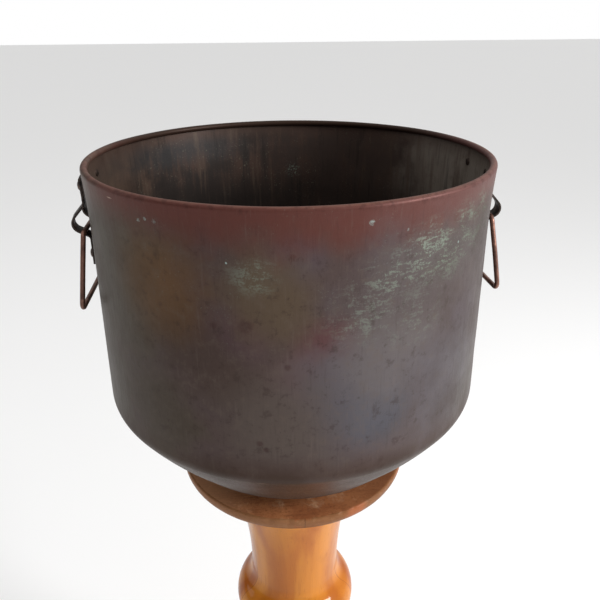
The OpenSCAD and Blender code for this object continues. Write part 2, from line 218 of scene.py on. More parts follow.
def add_object(name, data):
    """A new object in the scene."""
    made = bpy.data.objects.new(name, data)
    bpy.context.scene.collection.objects.link(made)
    return made


def make_piece(name, verts, faces, materials, body, stands_for, marks=None):
    """A smooth-shaded mesh object that rides on a body and stands for a CAD node."""
    mesh = bpy.data.meshes.new(name)
    mesh.from_pydata(verts, [], faces)
    for material in materials:
        mesh.materials.append(material)
    if marks is not None:
        mesh.polygons.foreach_set("material_index", marks)
    mesh.update()
    piece = add_object(name, mesh)
    smooth_by_angle(piece)
    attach(piece, body)
    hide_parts(stands_for)
    return piece


def smooth_by_angle(piece, limit=38):
    """Smooth shading with sharp edges kept where faces meet at a steep angle."""
    mesh = piece.data
    mesh.polygons.foreach_set("use_smooth", [True] * len(mesh.polygons))
    mesh.set_sharp_from_angle(angle=math.radians(limit))
    mesh.update()


def lathe(outline, turns, centre=(0.0, 0.0), shift=None, closed=False, zone=None):
    """Vertices, faces and zone marks of a turned shape.

    outline is a list of (radius, height). shift(angle, radius, height) may return a small
    (radial, vertical) change. zone(index) gives the material number of a row of faces.
    """
    verts, rings = [], []
    for radius, height in outline:
        if radius < ON_AXIS:
            rings.append([len(verts)] * turns)
            verts.append((centre[0], centre[1], height))
            continue
        ring = []
        for i in range(turns):
            a = TAU * i / turns
            dr, dz = shift(a, radius, height) if shift else (0.0, 0.0)
            ring.append(len(verts))
            verts.append((centre[0] + (radius + dr) * math.cos(a),
                          centre[1] + (radius + dr) * math.sin(a), height + dz))
        rings.append(ring)
    faces, marks = [], []
    pairs = list(zip(rings, rings[1:])) + ([(rings[-1], rings[0])] if closed else [])
    for row, (low, high) in enumerate(pairs):
        for i in range(turns):
            j = (i + 1) % turns
            corners = list(dict.fromkeys((low[i], low[j], high[j], high[i])))
            if len(corners) > 2:
                faces.append(corners)
                marks.append(zone(row) if zone else 0)
    return verts, faces, marks


def swept_faces(rings, sides):
    """The faces of a row of equal rings, with a cap on each end."""
    faces = []
    for i in range(rings - 1):
        for k in range(sides):
            m = (k + 1) % sides
            faces.append([i * sides + k, i * sides + m, (i + 1) * sides + m, (i + 1) * sides + k])
    faces.append(list(range(sides - 1, -1, -1)))
    faces.append(list(range((rings - 1) * sides, rings * sides)))
    return faces


def line_direction(line, i):
    """The direction of a line of (across, up) points at one of them."""
    before, after = line[max(i - 1, 0)], line[min(i + 1, len(line) - 1)]
    return Vector((after[0] - before[0], after[1] - before[1])).normalized()


def joined(parts):
    """Several (verts, faces) as one."""
    verts, faces = [], []
    for part_verts, part_faces in parts:
        first = len(verts)
        verts.extend(part_verts)
        faces.extend([[first + k for k in face] for face in part_faces])
    return verts, faces


def bell(value, middle, width):
    """1 at the middle, falling off smoothly over the width."""
    return math.exp(-((value - middle) / width) ** 2)


def turned_away(angle, other):
    """The angle between two directions around the axis, in radians."""
    return abs((angle - other + math.pi) % TAU - math.pi)


def soft_noise(x, y, z, scale, seed=0.0):
    return field.noise(Vector((x * scale + seed, y * scale - seed, z * scale + 2 * seed)))


# ---------------------------------------------------------------- Node helpers

class Nodes:
    """Adds nodes to a node tree a step at a time."""

    def __init__(self, tree):
        self.tree = tree

    def feed(self, socket, value):
        if isinstance(value, bpy.types.NodeSocket):
            self.tree.links.new(value, socket)
        elif socket.type == "RGBA" and len(value) == 3:
            socket.default_value = (*value, 1.0)
        else:
            socket.default_value = value

    def node(self, kind, inputs=(), **modes):
        """A new node with its modes set and its sockets fed, each by its name or number."""
        made = self.tree.nodes.new("ShaderNode" + kind)
        for mode, value in modes.items():
            setattr(made, mode, value)
        for socket, value in dict(inputs).items():
            self.feed(made.inputs[socket], value)
        return made


class Finish(Nodes):
    """Builds one node material, in the object's own coordinates."""

    def __init__(self, name):
        self.material = bpy.data.materials.new(name)
        self.material.use_nodes = True
        super().__init__(self.material.node_tree)
        self.tree.nodes.clear()
        self.shader = self.node("BsdfPrincipled")
        self.node("OutputMaterial", {"Surface": self.shader.outputs["BSDF"]})
        self.place = self.node("TexCoord").outputs["Object"]
        self.x, self.y, self.z = self.node("SeparateXYZ", {0: self.place}).outputs

    def math(self, operation, a, b=0.0, clamp=False):
        return self.node("Math", {0: a, 1: b}, operation=operation, use_clamp=clamp).outputs[0]

    def add(self, a, b):
        return self.math("ADD", a, b)

    def less(self, a, b):
        return self.math("SUBTRACT", a, b)

    def times(self, a, b):
        return self.math("MULTIPLY", a, b)

    def larger(self, a, b):
        return self.math("MAXIMUM", a, b)

    def sway(self, value, amount):
        """A noise turned into a swing of the given size either side of nothing."""
        return self.times(self.less(value, 0.5), amount)

    def vector(self, operation, a, b=None, c=None):
        """A vector operation on up to three inputs, as its node."""
        inputs = {i: value for i, value in enumerate((a, b, c)) if value is not None}
        return self.node("VectorMath", inputs, operation=operation)

    def stretch(self, scale, offset=(0.0, 0.0, 0.0), turn=(0.0, 0.0, 0.0), vector=None):
        return self.node("Mapping", {"Vector": vector or self.place, "Scale": scale, "Location": offset,
                                     "Rotation": turn}).outputs[0]

    def noise(self, scale, detail=4.0, rough=0.55, warp=0.0, vector=None):
        return self.node("TexNoise", {"Vector": vector or self.place, "Scale": scale, "Detail": detail,
                                      "Roughness": rough, "Distortion": warp}).outputs["Fac"]

    def mask(self, value, low, high):
        """0 at low and 1 at high, with a soft step between."""
        return self.node("MapRange", {"Value": value, "From Min": low, "From Max": high},
                         interpolation_type="SMOOTHSTEP").outputs["Result"]

    def mix(self, factor, a, b, mode="MIX"):
        return self.node("Mix", {0: factor, 6: a, 7: b}, data_type="RGBA", blend_type=mode,
                         clamp_factor=True).outputs[2]

    def lay(self, colour, where, amount, shade):
        """The colour with a shade laid on where the mask is 1, up to an amount."""
        return self.mix(self.times(where, amount), colour, shade)

    def tint(self, colour, value, low, high, amount, shade):
        """The same, where a value passes from low to high."""
        return self.lay(colour, self.mask(value, low, high), amount, shade)

    def near(self, point, radius, ragged, amount, squash=(1.0, 1.0, 1.0)):
        """1 at a point, fading to 0 at a radius, with a ragged edge."""
        sized = self.vector("MULTIPLY", self.vector("SUBTRACT", self.place, point).outputs[0], squash)
        distance = self.vector("LENGTH", sized.outputs[0]).outputs["Value"]
        return self.mask(self.add(distance, self.sway(ragged, amount)), radius, radius * 0.25)

    def bump(self, height, distance, strength, under=None):
        inputs = {"Height": height, "Distance": distance, "Strength": strength}
        if under is not None:
            inputs["Normal"] = under
        return self.node("Bump", inputs).outputs["Normal"]

    def done(self, colour, roughness, normal, metallic=0.0, **constants):
        sockets = {"Base Color": colour, "Roughness": roughness, "Metallic": metallic, "Normal": normal}
        sockets.update((name.replace("_", " "), value) for name, value in constants.items())
        for name, value in sockets.items():
            self.feed(self.shader.inputs[name], value)
        return self.material


# ---------------------------------------------------------------- Copper finishes

# Places on the wall: azimuth in degrees, then depth below the rim and size in millimetres.
# Blooms of verdigris, with their strength
BLOOMS = [
    (-58, 52, 34, 1.0), (-47, 40, 30, 0.9), (-39, 34, 30, 0.75), (-70, 58, 26, 0.7),
    (-77, 84, 34, 0.4), (-64, 92, 34, 0.35), (-104, 52, 17, 0.42), (40, 60, 46, 0.7),
    (118, 90, 40, 0.6), (165, 55, 34, 0.55), (75, 150, 38, 0.4),
]
# Small pale crusts
CRUSTS = [
    (-109, 42.4, 1.2), (-77.6, 13.9, 3.2), (-68.5, 24, 1.8), (-131, 19, 2.4), (-128.8, 17, 2.6),
    (-126.2, 17.7, 2.6), (-51, 46, 1.4), (96, 30, 3), (20, 44, 3),
]
# Dark round spots
SPOTS = [
    (-105.3, 92, 8), (-103, 196, 4), (-101.5, 202, 3), (-113, 94, 4), (-96, 126, 4), (-94.5, 36, 3),
    (55, 88, 6), (140, 70, 7),
]
# Soft stains, with their colour
STAINS = [
    (-105.3, 92, 9, (0.075, 0.028, 0.026)), (-86.4, 111, 24, (0.098, 0.039, 0.040)),
    (-108, 100, 26, (0.082, 0.048, 0.056)), (-94, 40, 20, (0.080, 0.062, 0.076)),
    (-112, 140, 30, (0.070, 0.050, 0.040)), (-90, 140, 30, (0.105, 0.070, 0.072)),
    (-45, 120, 26, (0.110, 0.090, 0.106)), (-73, 176, 30, (0.066, 0.074, 0.092)),
    (-38, 195, 30, (0.110, 0.098, 0.088)), (-132, 186, 40, (0.066, 0.052, 0.038)),
    (-80, 160, 46, (0.085, 0.082, 0.095)), (-140, 60, 60, (0.105, 0.096, 0.070)),
    (-118, 120, 40, (0.060, 0.038, 0.032)), (-128, 66, 44, (0.122, 0.060, 0.022)),
    (-100, 70, 36, (0.096, 0.068, 0.042)), (-72, 128, 40, (0.118, 0.104, 0.104)),
    (-52, 170, 50, (0.100, 0.092, 0.104)), (-98, 180, 44, (0.088, 0.070, 0.060)),
    (60, 120, 60, (0.090, 0.085, 0.092)), (130, 140, 50, (0.105, 0.050, 0.042)),
]

# Shades of the basin's outside, with painted shade and a painted highlight among them
DEEP_BROWN, SPOT_BROWN, PAINTED_SHADE = (0.070, 0.050, 0.050), (0.046, 0.022, 0.020), (0.032, 0.018, 0.010)
MOTTLE_PALE, MOTTLE_DARK = (0.115, 0.088, 0.070), (0.036, 0.022, 0.018)
BRUSH_PALE, BRUSH_DARK = (0.150, 0.118, 0.104), (0.034, 0.023, 0.020)
BAND_PALE, BEND_RED, GRIT = (0.135, 0.058, 0.050), (0.060, 0.030, 0.020), (0.020, 0.013, 0.012)
GREEN_DOTS, CRUST_GREEN, SCRATCHED = (0.17, 0.21, 0.17), (0.36, 0.47, 0.44), (0.50, 0.38, 0.30)
BARE_CROWN_AND_HIGHLIGHT, ROLL_RED, BACK_ROLL_SHADOW = (0.190, 0.092, 0.068), (0.060, 0.024, 0.020), (0.036, 0.020, 0.014)

# Shades of the basin's inside, with painted light and painted shade among them
RUSSET, SHADOW = (0.050, 0.033, 0.028), (0.017, 0.014, 0.013)
PAINTED_LIGHT_WARM, PAINTED_LIGHT_PALE = (0.075, 0.052, 0.044), (0.105, 0.082, 0.066)
PAINTED_LIGHT_FAR_RIGHT, FAR_LEFT, LIP_WARM = (0.30, 0.26, 0.22), (0.085, 0.055, 0.040), (0.085, 0.050, 0.038)
RUST, DEPTH_SHADE, PAINTED_SHEEN_GREY = (0.074, 0.042, 0.031), (0.020, 0.016, 0.014), (0.042, 0.044, 0.047)
RUN_PALE, RUN_DARK, SPECKS = (0.098, 0.076, 0.056), (0.018, 0.014, 0.012), (0.15, 0.15, 0.11)

# Shades of small metal parts
WIRE_GRIME, WIRE_GREEN, HAIRLINE = (0.02, 0.014, 0.012), (0.16, 0.19, 0.15), (0.85, 0.82, 0.76)


def on_wall(azimuth, drop, radius):
    """The point of the basin's wall at an azimuth in degrees and a depth in millimetres."""
    a = math.radians(azimuth)
    return radius * math.cos(a), radius * math.sin(a), RIM_Z - drop * MM


def wall_spots(f, places, basin, ragged, spread, fray, squash=(1.0, 1.0, 1.0)):
    """For each place on the wall, its mask and whatever else the place is given with."""
    for azimuth, depth, size, *rest in places:
        point = on_wall(azimuth, depth, basin.radius)
        yield f.near(point, size * MM * spread, ragged, size * MM * fray, squash), *rest


def copper_outside(basin):
    f = Finish("copper_outside")
    drop = f.less(RIM_Z, f.z)
    broad = f.noise(5.5, 3)
    cloud = f.noise(22, 5, 0.62)
    mottle = f.noise(95, 5, 0.7)
    grit = f.noise(640, 4, 0.7)
    crumbs = f.noise(520, 3, 0.75)
    brush = f.noise(520, 3, 0.6, vector=f.stretch((1, 1, 0.07)))
    streak = f.noise(64, 4, 0.6, vector=f.stretch((1, 1, 0.2), offset=(3, 1, 0)))
    wander = f.less(cloud, 0.5)
    # -1 on the shaded side and 1 on the sunlit side
    side = f.add(f.math("DIVIDE", f.x, basin.radius), f.times(wander, 1.1))

    colour = f.mix(f.mask(broad, 0.36, 0.64), basin.brown, DEEP_BROWN)
    colour = f.tint(colour, side, -0.05, 0.75, 0.85, basin.slate)
    colour = f.tint(colour, side, -0.45, -0.95, 0.80, basin.olive)
    for spot, stain in wall_spots(f, STAINS, basin, cloud, 1.5, 1.3):
        colour = f.lay(colour, spot, 0.80, stain)
    for (spot,) in wall_spots(f, SPOTS, basin, mottle, 1.0, 0.9):
        colour = f.lay(colour, spot, 0.6, SPOT_BROWN)
    colour = f.tint(colour, mottle, 0.50, 0.70, 0.28, MOTTLE_PALE)
    colour = f.tint(colour, mottle, 0.47, 0.32, 0.42, MOTTLE_DARK)

    # Red-brown band under the rim, with a lower edge that wanders
    band_depth = f.add(f.add(drop, f.sway(streak, 22 * MM)), f.times(wander, 40 * MM))
    band_colour = f.mix(f.mask(side, -0.1, 0.9), basin.red, BAND_PALE)
    olive_edge = f.times(f.mask(side, -0.7, -1.1), 0.55)
    band = f.times(f.mask(band_depth, 46 * MM, 6 * MM), f.less(1.0, olive_edge))
    colour = f.lay(colour, band, 0.9, band_colour)

    # Darker and redder at the bend below the wall
    low = f.mask(f.add(drop, f.times(wander, 16 * MM)), 205 * MM, 245 * MM)
    low = f.times(low, f.add(0.66, f.times(f.mask(cloud, 0.40, 0.58), 0.34)))
    colour = f.lay(colour, low, 0.75, BEND_RED)

    colour = f.tint(colour, brush, 0.55, 0.75, 0.16, BRUSH_PALE)
    colour = f.tint(colour, brush, 0.45, 0.28, 0.17, BRUSH_DARK)
    colour = f.tint(colour, grit, 0.62, 0.74, 0.5, GRIT)

    # Verdigris in fibres and crumbs, with dots and crusts around it
    blooms = wall_spots(f, BLOOMS, basin, cloud, 1.5, 1.4, (1, 1, 1.35))
    bloom = reduce(f.larger, (f.times(spot, power) for spot, power in blooms))
    patches = f.noise(70, 5, 0.7, 0.4)
    fibres = f.noise(380, 4, 0.72, vector=f.stretch((0.22, 0.22, 1)))
    sprinkle = f.add(f.add(f.times(crumbs, 0.34), f.times(fibres, 0.42)), f.times(patches, 0.40))
    green = f.times(bloom, f.add(0.09, f.times(f.mask(sprinkle, 0.57, 0.67), 0.82)))
    colour = f.mix(green, colour, basin.verdigris)
    high = f.times(f.mask(cloud, 0.50, 0.62), f.mask(drop, 150 * MM, 60 * MM))
    colour = f.lay(colour, f.times(f.mask(grit, 0.40, 0.30), high), 0.45, GREEN_DOTS)
    crust = reduce(f.larger, (spot for (spot,) in wall_spots(f, CRUSTS, basin, crumbs, 1.0, 1.6)))
    colour = f.lay(colour, crust, 0.85, CRUST_GREEN)

    # Bare metal shows on the crown of the rim, with a painted highlight along it at the front
    crown_wear_and_highlight = f.mask(f.add(drop, f.sway(streak, 2.6 * MM)), 1.3 * MM, 0.2 * MM)
    crown_wear_and_highlight = f.times(crown_wear_and_highlight, f.mask(f.y, 0.10, -0.06))
    colour = f.lay(colour, crown_wear_and_highlight, 0.5, BARE_CROWN_AND_HIGHLIGHT)
    roll = f.mask(f.add(drop, f.times(wander, 6 * MM)), 7 * MM, 2 * MM)
    colour = f.lay(colour, f.times(roll, f.mask(mottle, 0.50, 0.40)), 0.45, ROLL_RED)
    # Painted shadow on the rolled rim at the back
    colour = f.mix(f.times(f.mask(f.y, 0.0, 0.12), f.mask(drop, 9 * MM, 5 * MM)), colour, BACK_ROLL_SHADOW)
    scratch = f.larger(
        f.near(on_wall(-141, 7.8, basin.radius), 5.5 * MM, crumbs, 1.5 * MM, (1, 1, 7.0)),
        f.near(on_wall(-103, 238, basin.radius), 7 * MM, crumbs, 2 * MM, (1, 1, 8.0)))
    colour = f.lay(colour, scratch, 0.85, SCRATCHED)

    # Painted shade: darker on the shaded side, on the window's side and over the bend above the plate
    painted_shade = f.larger(f.times(f.mask(side, -0.35, -1.05), 0.74), f.times(f.mask(side, 0.15, 1.0), 0.56))
    painted_shade = f.larger(f.times(painted_shade, f.mask(drop, 4 * MM, 32 * MM)), f.times(low, 0.76))
    colour = f.mix(1.0, colour, basin.tarnish, "MULTIPLY")
    colour = f.mix(painted_shade, colour, PAINTED_SHADE)

    dull = f.larger(green, crust)
    roughness = f.add(f.add(0.44, f.times(wander, 0.25)), f.sway(brush, 0.25))
    roughness = f.math("MINIMUM", f.add(roughness, f.times(dull, 0.45)), 0.92)
    metallic = f.math("SUBTRACT", 0.25, f.times(dull, 0.25), clamp=True)
    normal = f.bump(brush, 0.06 * MM, 0.5)
    normal = f.bump(f.add(grit, f.times(crumbs, f.times(dull, 2.2))), 0.12 * MM, 0.55, normal)
    normal = f.bump(f.noise(34, 3), 1.1 * MM, 0.35, normal)
    return f.done(colour, roughness, normal, metallic, Specular_IOR_Level=0.12)


def copper_inside(basin):
    f = Finish("copper_inside")
    drop = f.less(RIM_Z, f.z)
    broad = f.noise(8, 3)
    cloud = f.noise(30, 5, 0.6)
    runs = f.noise(95, 4, 0.65, vector=f.stretch((1, 1, 0.08)))
    crumbs = f.noise(480, 3, 0.7)

    def across(slope, raggedness):
        """A value that rises across the basin at a slope, with a ragged front."""
        return f.add(f.times(f.x, slope), f.times(cloud, raggedness))

    colour = f.mix(f.mask(broad, 0.4, 0.65), basin.inside, RUSSET)
    # Painted shade on the left of the inside, and painted light on its right, where the window's light does
    # not reach
    colour = f.tint(colour, f.x, 0.03, -0.12, 0.55, SHADOW)
    colour = f.tint(colour, f.x, -0.03, 0.08, 0.6, PAINTED_LIGHT_WARM)
    colour = f.tint(colour, across(5.0, 0.9), 0.9, 1.6, 0.8, PAINTED_LIGHT_PALE)
    colour = f.tint(colour, across(5.4, 0.5), 0.95, 1.25, 0.8, PAINTED_LIGHT_FAR_RIGHT)
    rust = f.add(f.times(cloud, 0.55), f.times(runs, 0.55))
    colour = f.tint(colour, rust, 0.50, 0.68, 0.60, RUST)
    # Painted shade deeper in the basin, stronger on the left
    depth_shade = f.mask(f.add(drop, f.sway(cloud, 50 * MM)), 60 * MM, 95 * MM)
    depth_shade = f.times(depth_shade, f.add(0.45, f.times(f.mask(f.x, 0.03, -0.09), 0.4)))
    colour = f.mix(depth_shade, colour, DEPTH_SHADE)

    # Painted cool sheen in a band high on the wall, on the left
    sheen_depth = f.add(drop, f.sway(runs, 30 * MM))
    sheen_band = f.times(f.mask(sheen_depth, 52 * MM, 30 * MM), f.mask(sheen_depth, 6 * MM, 18 * MM))
    cool_side = f.mask(across(-4.2, 0.8), 0.35, 0.95)
    colour = f.lay(colour, f.times(sheen_band, cool_side), 0.45, PAINTED_SHEEN_GREY)
    colour = f.tint(colour, across(-5.4, 0.5), 0.98, 1.25, 0.75, FAR_LEFT)
    colour = f.tint(colour, drop, 26 * MM, 8 * MM, 0.5, LIP_WARM)
    colour = f.tint(colour, runs, 0.56, 0.72, 0.40, RUN_PALE)
    colour = f.tint(colour, runs, 0.44, 0.30, 0.45, RUN_DARK)
    specks = f.times(f.mask(crumbs, 0.60, 0.72), f.mask(cloud, 0.46, 0.62))
    colour = f.lay(colour, specks, 0.6, SPECKS)
    bloom = f.near(on_wall(84, 62, basin.radius - basin.sheet), 14 * MM, crumbs, 16 * MM)
    colour = f.mix(f.times(bloom, f.times(f.mask(crumbs, 0.5, 0.66), 0.7)), colour, basin.verdigris)
    roughness = f.add(0.46, f.sway(cloud, 0.4))
    normal = f.bump(runs, 0.12 * MM, 0.5)
    normal = f.bump(f.add(crumbs, cloud), 0.18 * MM, 0.5, normal)
    return f.done(colour, roughness, normal, 0.35, Specular_IOR_Level=0.2)


def old_copper(name, base, bright, dark, metallic=0.75, roughness=0.42):
    """Handled wire and strap metal: brown film, rubbed bright spots and dark grime."""
    f = Finish(name)
    cloud = f.noise(90, 4, 0.6)
    grit = f.noise(900, 3, 0.7)
    colour = f.mix(f.mask(cloud, 0.42, 0.66), base, dark)
    colour = f.tint(colour, f.noise(150, 3), 0.55, 0.72, 0.6, bright)
    colour = f.tint(colour, grit, 0.60, 0.74, 0.55, WIRE_GRIME)
    green = f.times(f.mask(f.noise(60, 5, 0.7), 0.60, 0.72), f.mask(grit, 0.45, 0.6))
    colour = f.lay(colour, green, 0.45, WIRE_GREEN)
    drawn = f.noise(700, 2, vector=f.stretch((1, 1, 1), offset=(1, 2, 3)))
    normal = f.bump(drawn, 0.05 * MM, 0.6)
    normal = f.bump(f.add(grit, cloud), 0.16 * MM, 0.6, normal)
    return f.done(colour, f.add(roughness, f.sway(cloud, 0.35)), normal, metallic)


def plain_metal(name, base, shade, roughness):
    """Screw and bolt metal, dulled and scratched."""
    f = Finish(name)
    cloud = f.noise(160, 4, 0.6)
    hairline = f.noise(1400, 2, vector=f.stretch((1, 0.06, 1)))
    colour = f.mix(f.mask(cloud, 0.42, 0.66), base, shade)
    colour = f.tint(colour, hairline, 0.56, 0.70, 0.3, HAIRLINE)
    normal = f.bump(f.add(hairline, cloud), 0.05 * MM, 0.5)
    return f.done(colour, f.add(roughness, f.times(cloud, 0.2)), normal, 0.95)


# ---------------------------------------------------------------- Wood finishes

# Shades of the varnished boards
FLAME, PALE_FIGURE = (0.380, 0.110, 0.018), (0.92, 0.56, 0.22)
PORES, GLUE = (0.34, 0.115, 0.024), (0.21, 0.070, 0.018)
BOARD_DARK, BOARD_PALE, TONED = (0.50, 0.175, 0.036), (0.78, 0.40, 0.12), (0.24, 0.075, 0.020)
SMUDGE, RUBBED = (0.40, 0.135, 0.028), (0.75, 0.46, 0.22)
# Shades of the plate's top, with painted shade and painted light among them
STAIN_DEEP, STAIN_RING, STAIN_PORE = (0.27, 0.092, 0.036), (0.48, 0.21, 0.09), (0.16, 0.055, 0.022)
STAIN_CRUMB, STAIN_SCUFF, SMEAR = (0.17, 0.058, 0.024), (0.58, 0.30, 0.15), (0.56, 0.36, 0.22)
RIGHT_PAINTED_SHADE, LEFT_SCUFF_AND_LIGHT = (0.145, 0.054, 0.024), (0.62, 0.33, 0.18)
# Shades of its worn edge
EDGE_LEFT, EDGE_SCUFF, EDGE_PORE = (0.26, 0.115, 0.048), (0.32, 0.165, 0.080), (0.17, 0.062, 0.024)
EDGE_ISLAND, EDGE_CRACK = (0.33, 0.105, 0.040), (0.10, 0.040, 0.018)
# Smears on the plate beside the basin: azimuth in degrees and size in millimetres
SMEARS = [(-150, 13), (-136, 12), (-146, 6), (-104, 10), (-84, 14), (-70, 12), (-52, 9), (-30, 8), (70, 12)]
SMEAR_RING = 103 * MM


def grain_colour(f, wood, board, stack, along, heart, tone=0.0):
    """Colour, pores and rings of planed boards with their glue lines.

    stack is the axis socket that the boards are glued along, and along the axis index of the
    grain. heart is where the middle of the tree lay, beside the piece.
    """
    place = f.math("DIVIDE", f.add(stack, board * 5.5), board)
    chance = f.node("TexWhiteNoise", {"W": f.math("FLOOR", place)}, noise_dimensions="1D")
    own = f.vector("MULTIPLY_ADD", chance.outputs["Color"], (0.11, 0.09, 0.6), f.place).outputs[0]

    def drawn_out(amount):
        """A stretch that draws the figure out along the grain."""
        return tuple(amount if axis == along else 1.0 for axis in range(3))

    tilted = f.stretch(drawn_out(0.34), heart, (0.05, 0.04, 0.03), own)
    rings = f.node("TexWave", {"Vector": tilted, "Scale": 9.0, "Distortion": 5.5, "Detail": 2.5,
                               "Detail Scale": 0.9, "Detail Roughness": 0.5},
                   wave_type="RINGS", rings_direction="XYZ"[along]).outputs["Fac"]
    swirl = f.noise(26, 4, 0.55, 1.2, vector=f.stretch(drawn_out(0.34), vector=own))
    pores = f.noise(620, 3, 0.6, vector=f.stretch(drawn_out(0.05), vector=own))
    band = f.add(f.times(rings, 0.36), f.times(swirl, 0.74))
    colour = f.mix(f.mask(band, 0.26, 0.78), wood.dark, wood.light)
    colour = f.tint(colour, f.add(rings, f.sway(swirl, 0.8)), 0.30, 0.06, 0.28, FLAME)
    figure = f.noise(15, 3, 0.5, 1.6, vector=f.stretch(drawn_out(0.05), (2, 5, 1), vector=own))
    colour = f.tint(colour, figure, 0.56, 0.66, 0.34, PALE_FIGURE)
    shade = f.less(chance.outputs["Value"], 0.5)
    colour = f.tint(colour, shade, 0.0, 0.5, 0.35, BOARD_DARK)
    colour = f.tint(colour, shade, 0.0, -0.5, 0.25, BOARD_PALE)
    colour = f.tint(colour, pores, 0.44, 0.32, 0.22, PORES)
    joint = f.math("ABSOLUTE", f.less(f.math("FRACT", place), 0.5))
    colour = f.tint(colour, joint, 0.486, 0.497, 0.6, GLUE)
    if tone:
        colour = f.mix(tone, colour, TONED)
    return colour, pores, rings


def varnished_wood(name, wood, stack_axis="x", tone=0.0, along=2, board=None, heart=(0.05, 0.16, 0.0)):
    f = Finish(name)
    stack = getattr(f, stack_axis)
    colour, pores, _ = grain_colour(f, wood, board or wood.board, stack, along, heart, tone)
    # Sloping faces cut across the grain go redder: partly end grain that drinks more varnish, partly
    # painted shade on the bulb below the neck
    slope = f.node("SeparateXYZ", {0: f.node("NewGeometry").outputs["True Normal"]})
    ends = f.math("ABSOLUTE", slope.outputs["XYZ"[along]])
    smudge = f.noise(24, 4, 0.6)
    wear = f.noise(160, 4, 0.7)
    colour = f.tint(colour, f.add(ends, f.sway(smudge, 0.5)), 0.22, 0.80, 0.50, wood.end)
    colour = f.tint(colour, smudge, 0.54, 0.74, 0.25, SMUDGE)
    marks = f.times(f.mask(wear, 0.64, 0.74), f.mask(smudge, 0.46, 0.62))
    colour = f.lay(colour, marks, 0.45, RUBBED)
    colour = f.mix(1.0, colour, wood.varnish, "MULTIPLY")
    normal = f.bump(pores, 0.04 * MM, 0.25)
    normal = f.bump(smudge, 0.6 * MM, 0.30, normal)
    return f.done(colour, f.add(0.26, f.times(smudge, 0.18)), normal,
                  Coat_Weight=0.55, Coat_Roughness=0.06, Coat_IOR=1.45, Specular_IOR_Level=0.05)


def plate_wood(wood):
    f = Finish("plate_wood")
    _, pores, rings = grain_colour(f, wood, 82 * MM, f.y, 0, (0.0, 0.12, 0.14))
    rim = PLATE_HI[0]
    crumbs = f.noise(420, 4, 0.7)
    cloud = f.noise(38, 5, 0.65)
    scuff = f.noise(120, 5, 0.72, 0.4)
    side = f.math("DIVIDE", f.x, rim)

    stained = f.mix(f.mask(cloud, 0.36, 0.66), wood.plate_top, STAIN_DEEP)
    # The last two lay painted shade on the right of the top and painted light on its left, over a pale
    # scuff there
    for value, low, high, amount, shade in (
            (rings, 0.3, 0.9, 0.25, STAIN_RING), (pores, 0.46, 0.34, 0.45, STAIN_PORE),
            (crumbs, 0.50, 0.34, 0.65, STAIN_CRUMB), (scuff, 0.56, 0.68, 0.45, STAIN_SCUFF),
            (side, 0.1, 0.8, 0.72, RIGHT_PAINTED_SHADE), (side, -0.3, -0.8, 0.6, LEFT_SCUFF_AND_LIGHT)):
        stained = f.tint(stained, value, low, high, amount, shade)

    def smear(azimuth, size):
        a = math.radians(azimuth)
        spot = (SMEAR_RING * math.cos(a), SMEAR_RING * math.sin(a), PLATE_Z)
        return f.near(spot, size * MM, crumbs, size * 1.2 * MM)

    smears = reduce(f.larger, (smear(*place) for place in SMEARS))
    stained = f.mix(f.times(smears, f.times(f.mask(scuff, 0.42, 0.64), 0.36)), stained, SMEAR)

    # Worn edge: pale where the varnish is rubbed off, with red-brown islands left, and painted shade
    # darkening it towards the window's side
    worn = f.mix(f.mask(f.add(side, f.times(cloud, 0.8)), -0.1, 1.1), EDGE_LEFT, wood.plate_edge_shaded)
    worn = f.tint(worn, scuff, 0.52, 0.66, 0.4, EDGE_SCUFF)
    worn = f.tint(worn, pores, 0.48, 0.36, 0.45, EDGE_PORE)
    island = f.larger(f.mask(cloud, 0.60, 0.66),
                      f.near((0.052, -0.112, PLATE_Z - 5 * MM), 17 * MM, cloud, 16 * MM))
    worn = f.lay(worn, island, 0.85, EDGE_ISLAND)
    crack_line = f.math("ABSOLUTE", f.add(f.x, f.sway(crumbs, 1.6 * MM)))
    crack = f.times(f.mask(crack_line, 0.55 * MM, 0.25 * MM), f.mask(f.y, -0.09, -0.115))
    worn = f.lay(worn, crack, 0.8, EDGE_CRACK)

    radius = f.math("SQRT", f.add(f.math("POWER", f.x, 2.0), f.math("POWER", f.y, 2.0)))
    edge = f.mask(f.add(radius, f.sway(scuff, 3.5 * MM)), rim - 2.6 * MM, rim - 1.2 * MM)
    edge = f.larger(edge, f.mask(f.z, PLATE_Z - 1.2 * MM, PLATE_Z - 2.4 * MM))
    roughness = f.add(f.less(0.62, f.times(edge, 0.16)), f.sway(scuff, 0.35))
    normal = f.bump(pores, 0.12 * MM, 0.5)
    normal = f.bump(f.add(scuff, crumbs), 0.22 * MM, 0.5, normal)
    return f.done(f.mix(edge, stained, worn), roughness, normal,
                  Coat_Weight=0.05, Coat_Roughness=0.24, Coat_IOR=1.45, Specular_IOR_Level=0.1)


# ---------------------------------------------------------------- Outlines of the turned pieces

# Bends of the basin's bottom, as angles of the outward normal below the horizontal
KNUCKLE_END, HAUNCH_END = 34.4, 42.25
KNUCKLE_R, HAUNCH_R, CONE, SOLE_R = 18.5 * MM, 340 * MM, 30 * MM, 120 * MM
CURL_FROM, ROLL_STEPS, BASIN_TURNS = 285, 26, 288
# Straps: gaps to the wall and inside the fold, and the depths of the rivets below the rim
STRAP_GAP, FOLD_GAP, RIVET_GAP = 0.1 * MM, 0.1 * MM, 0.05 * MM
UPPER_RIVET, LOWER_RIVET = 21.5 * MM, 87 * MM
# Strap's loop: middle, radius, and the angles at which the metal enters and leaves it
LOOP, LOOP_R, LOOP_FROM, LOOP_TO = (197 * MM, RIM_Z - 55.5 * MM), 8.8 * MM, 41, -60
STRAP_END = RIM_Z - 96 * MM
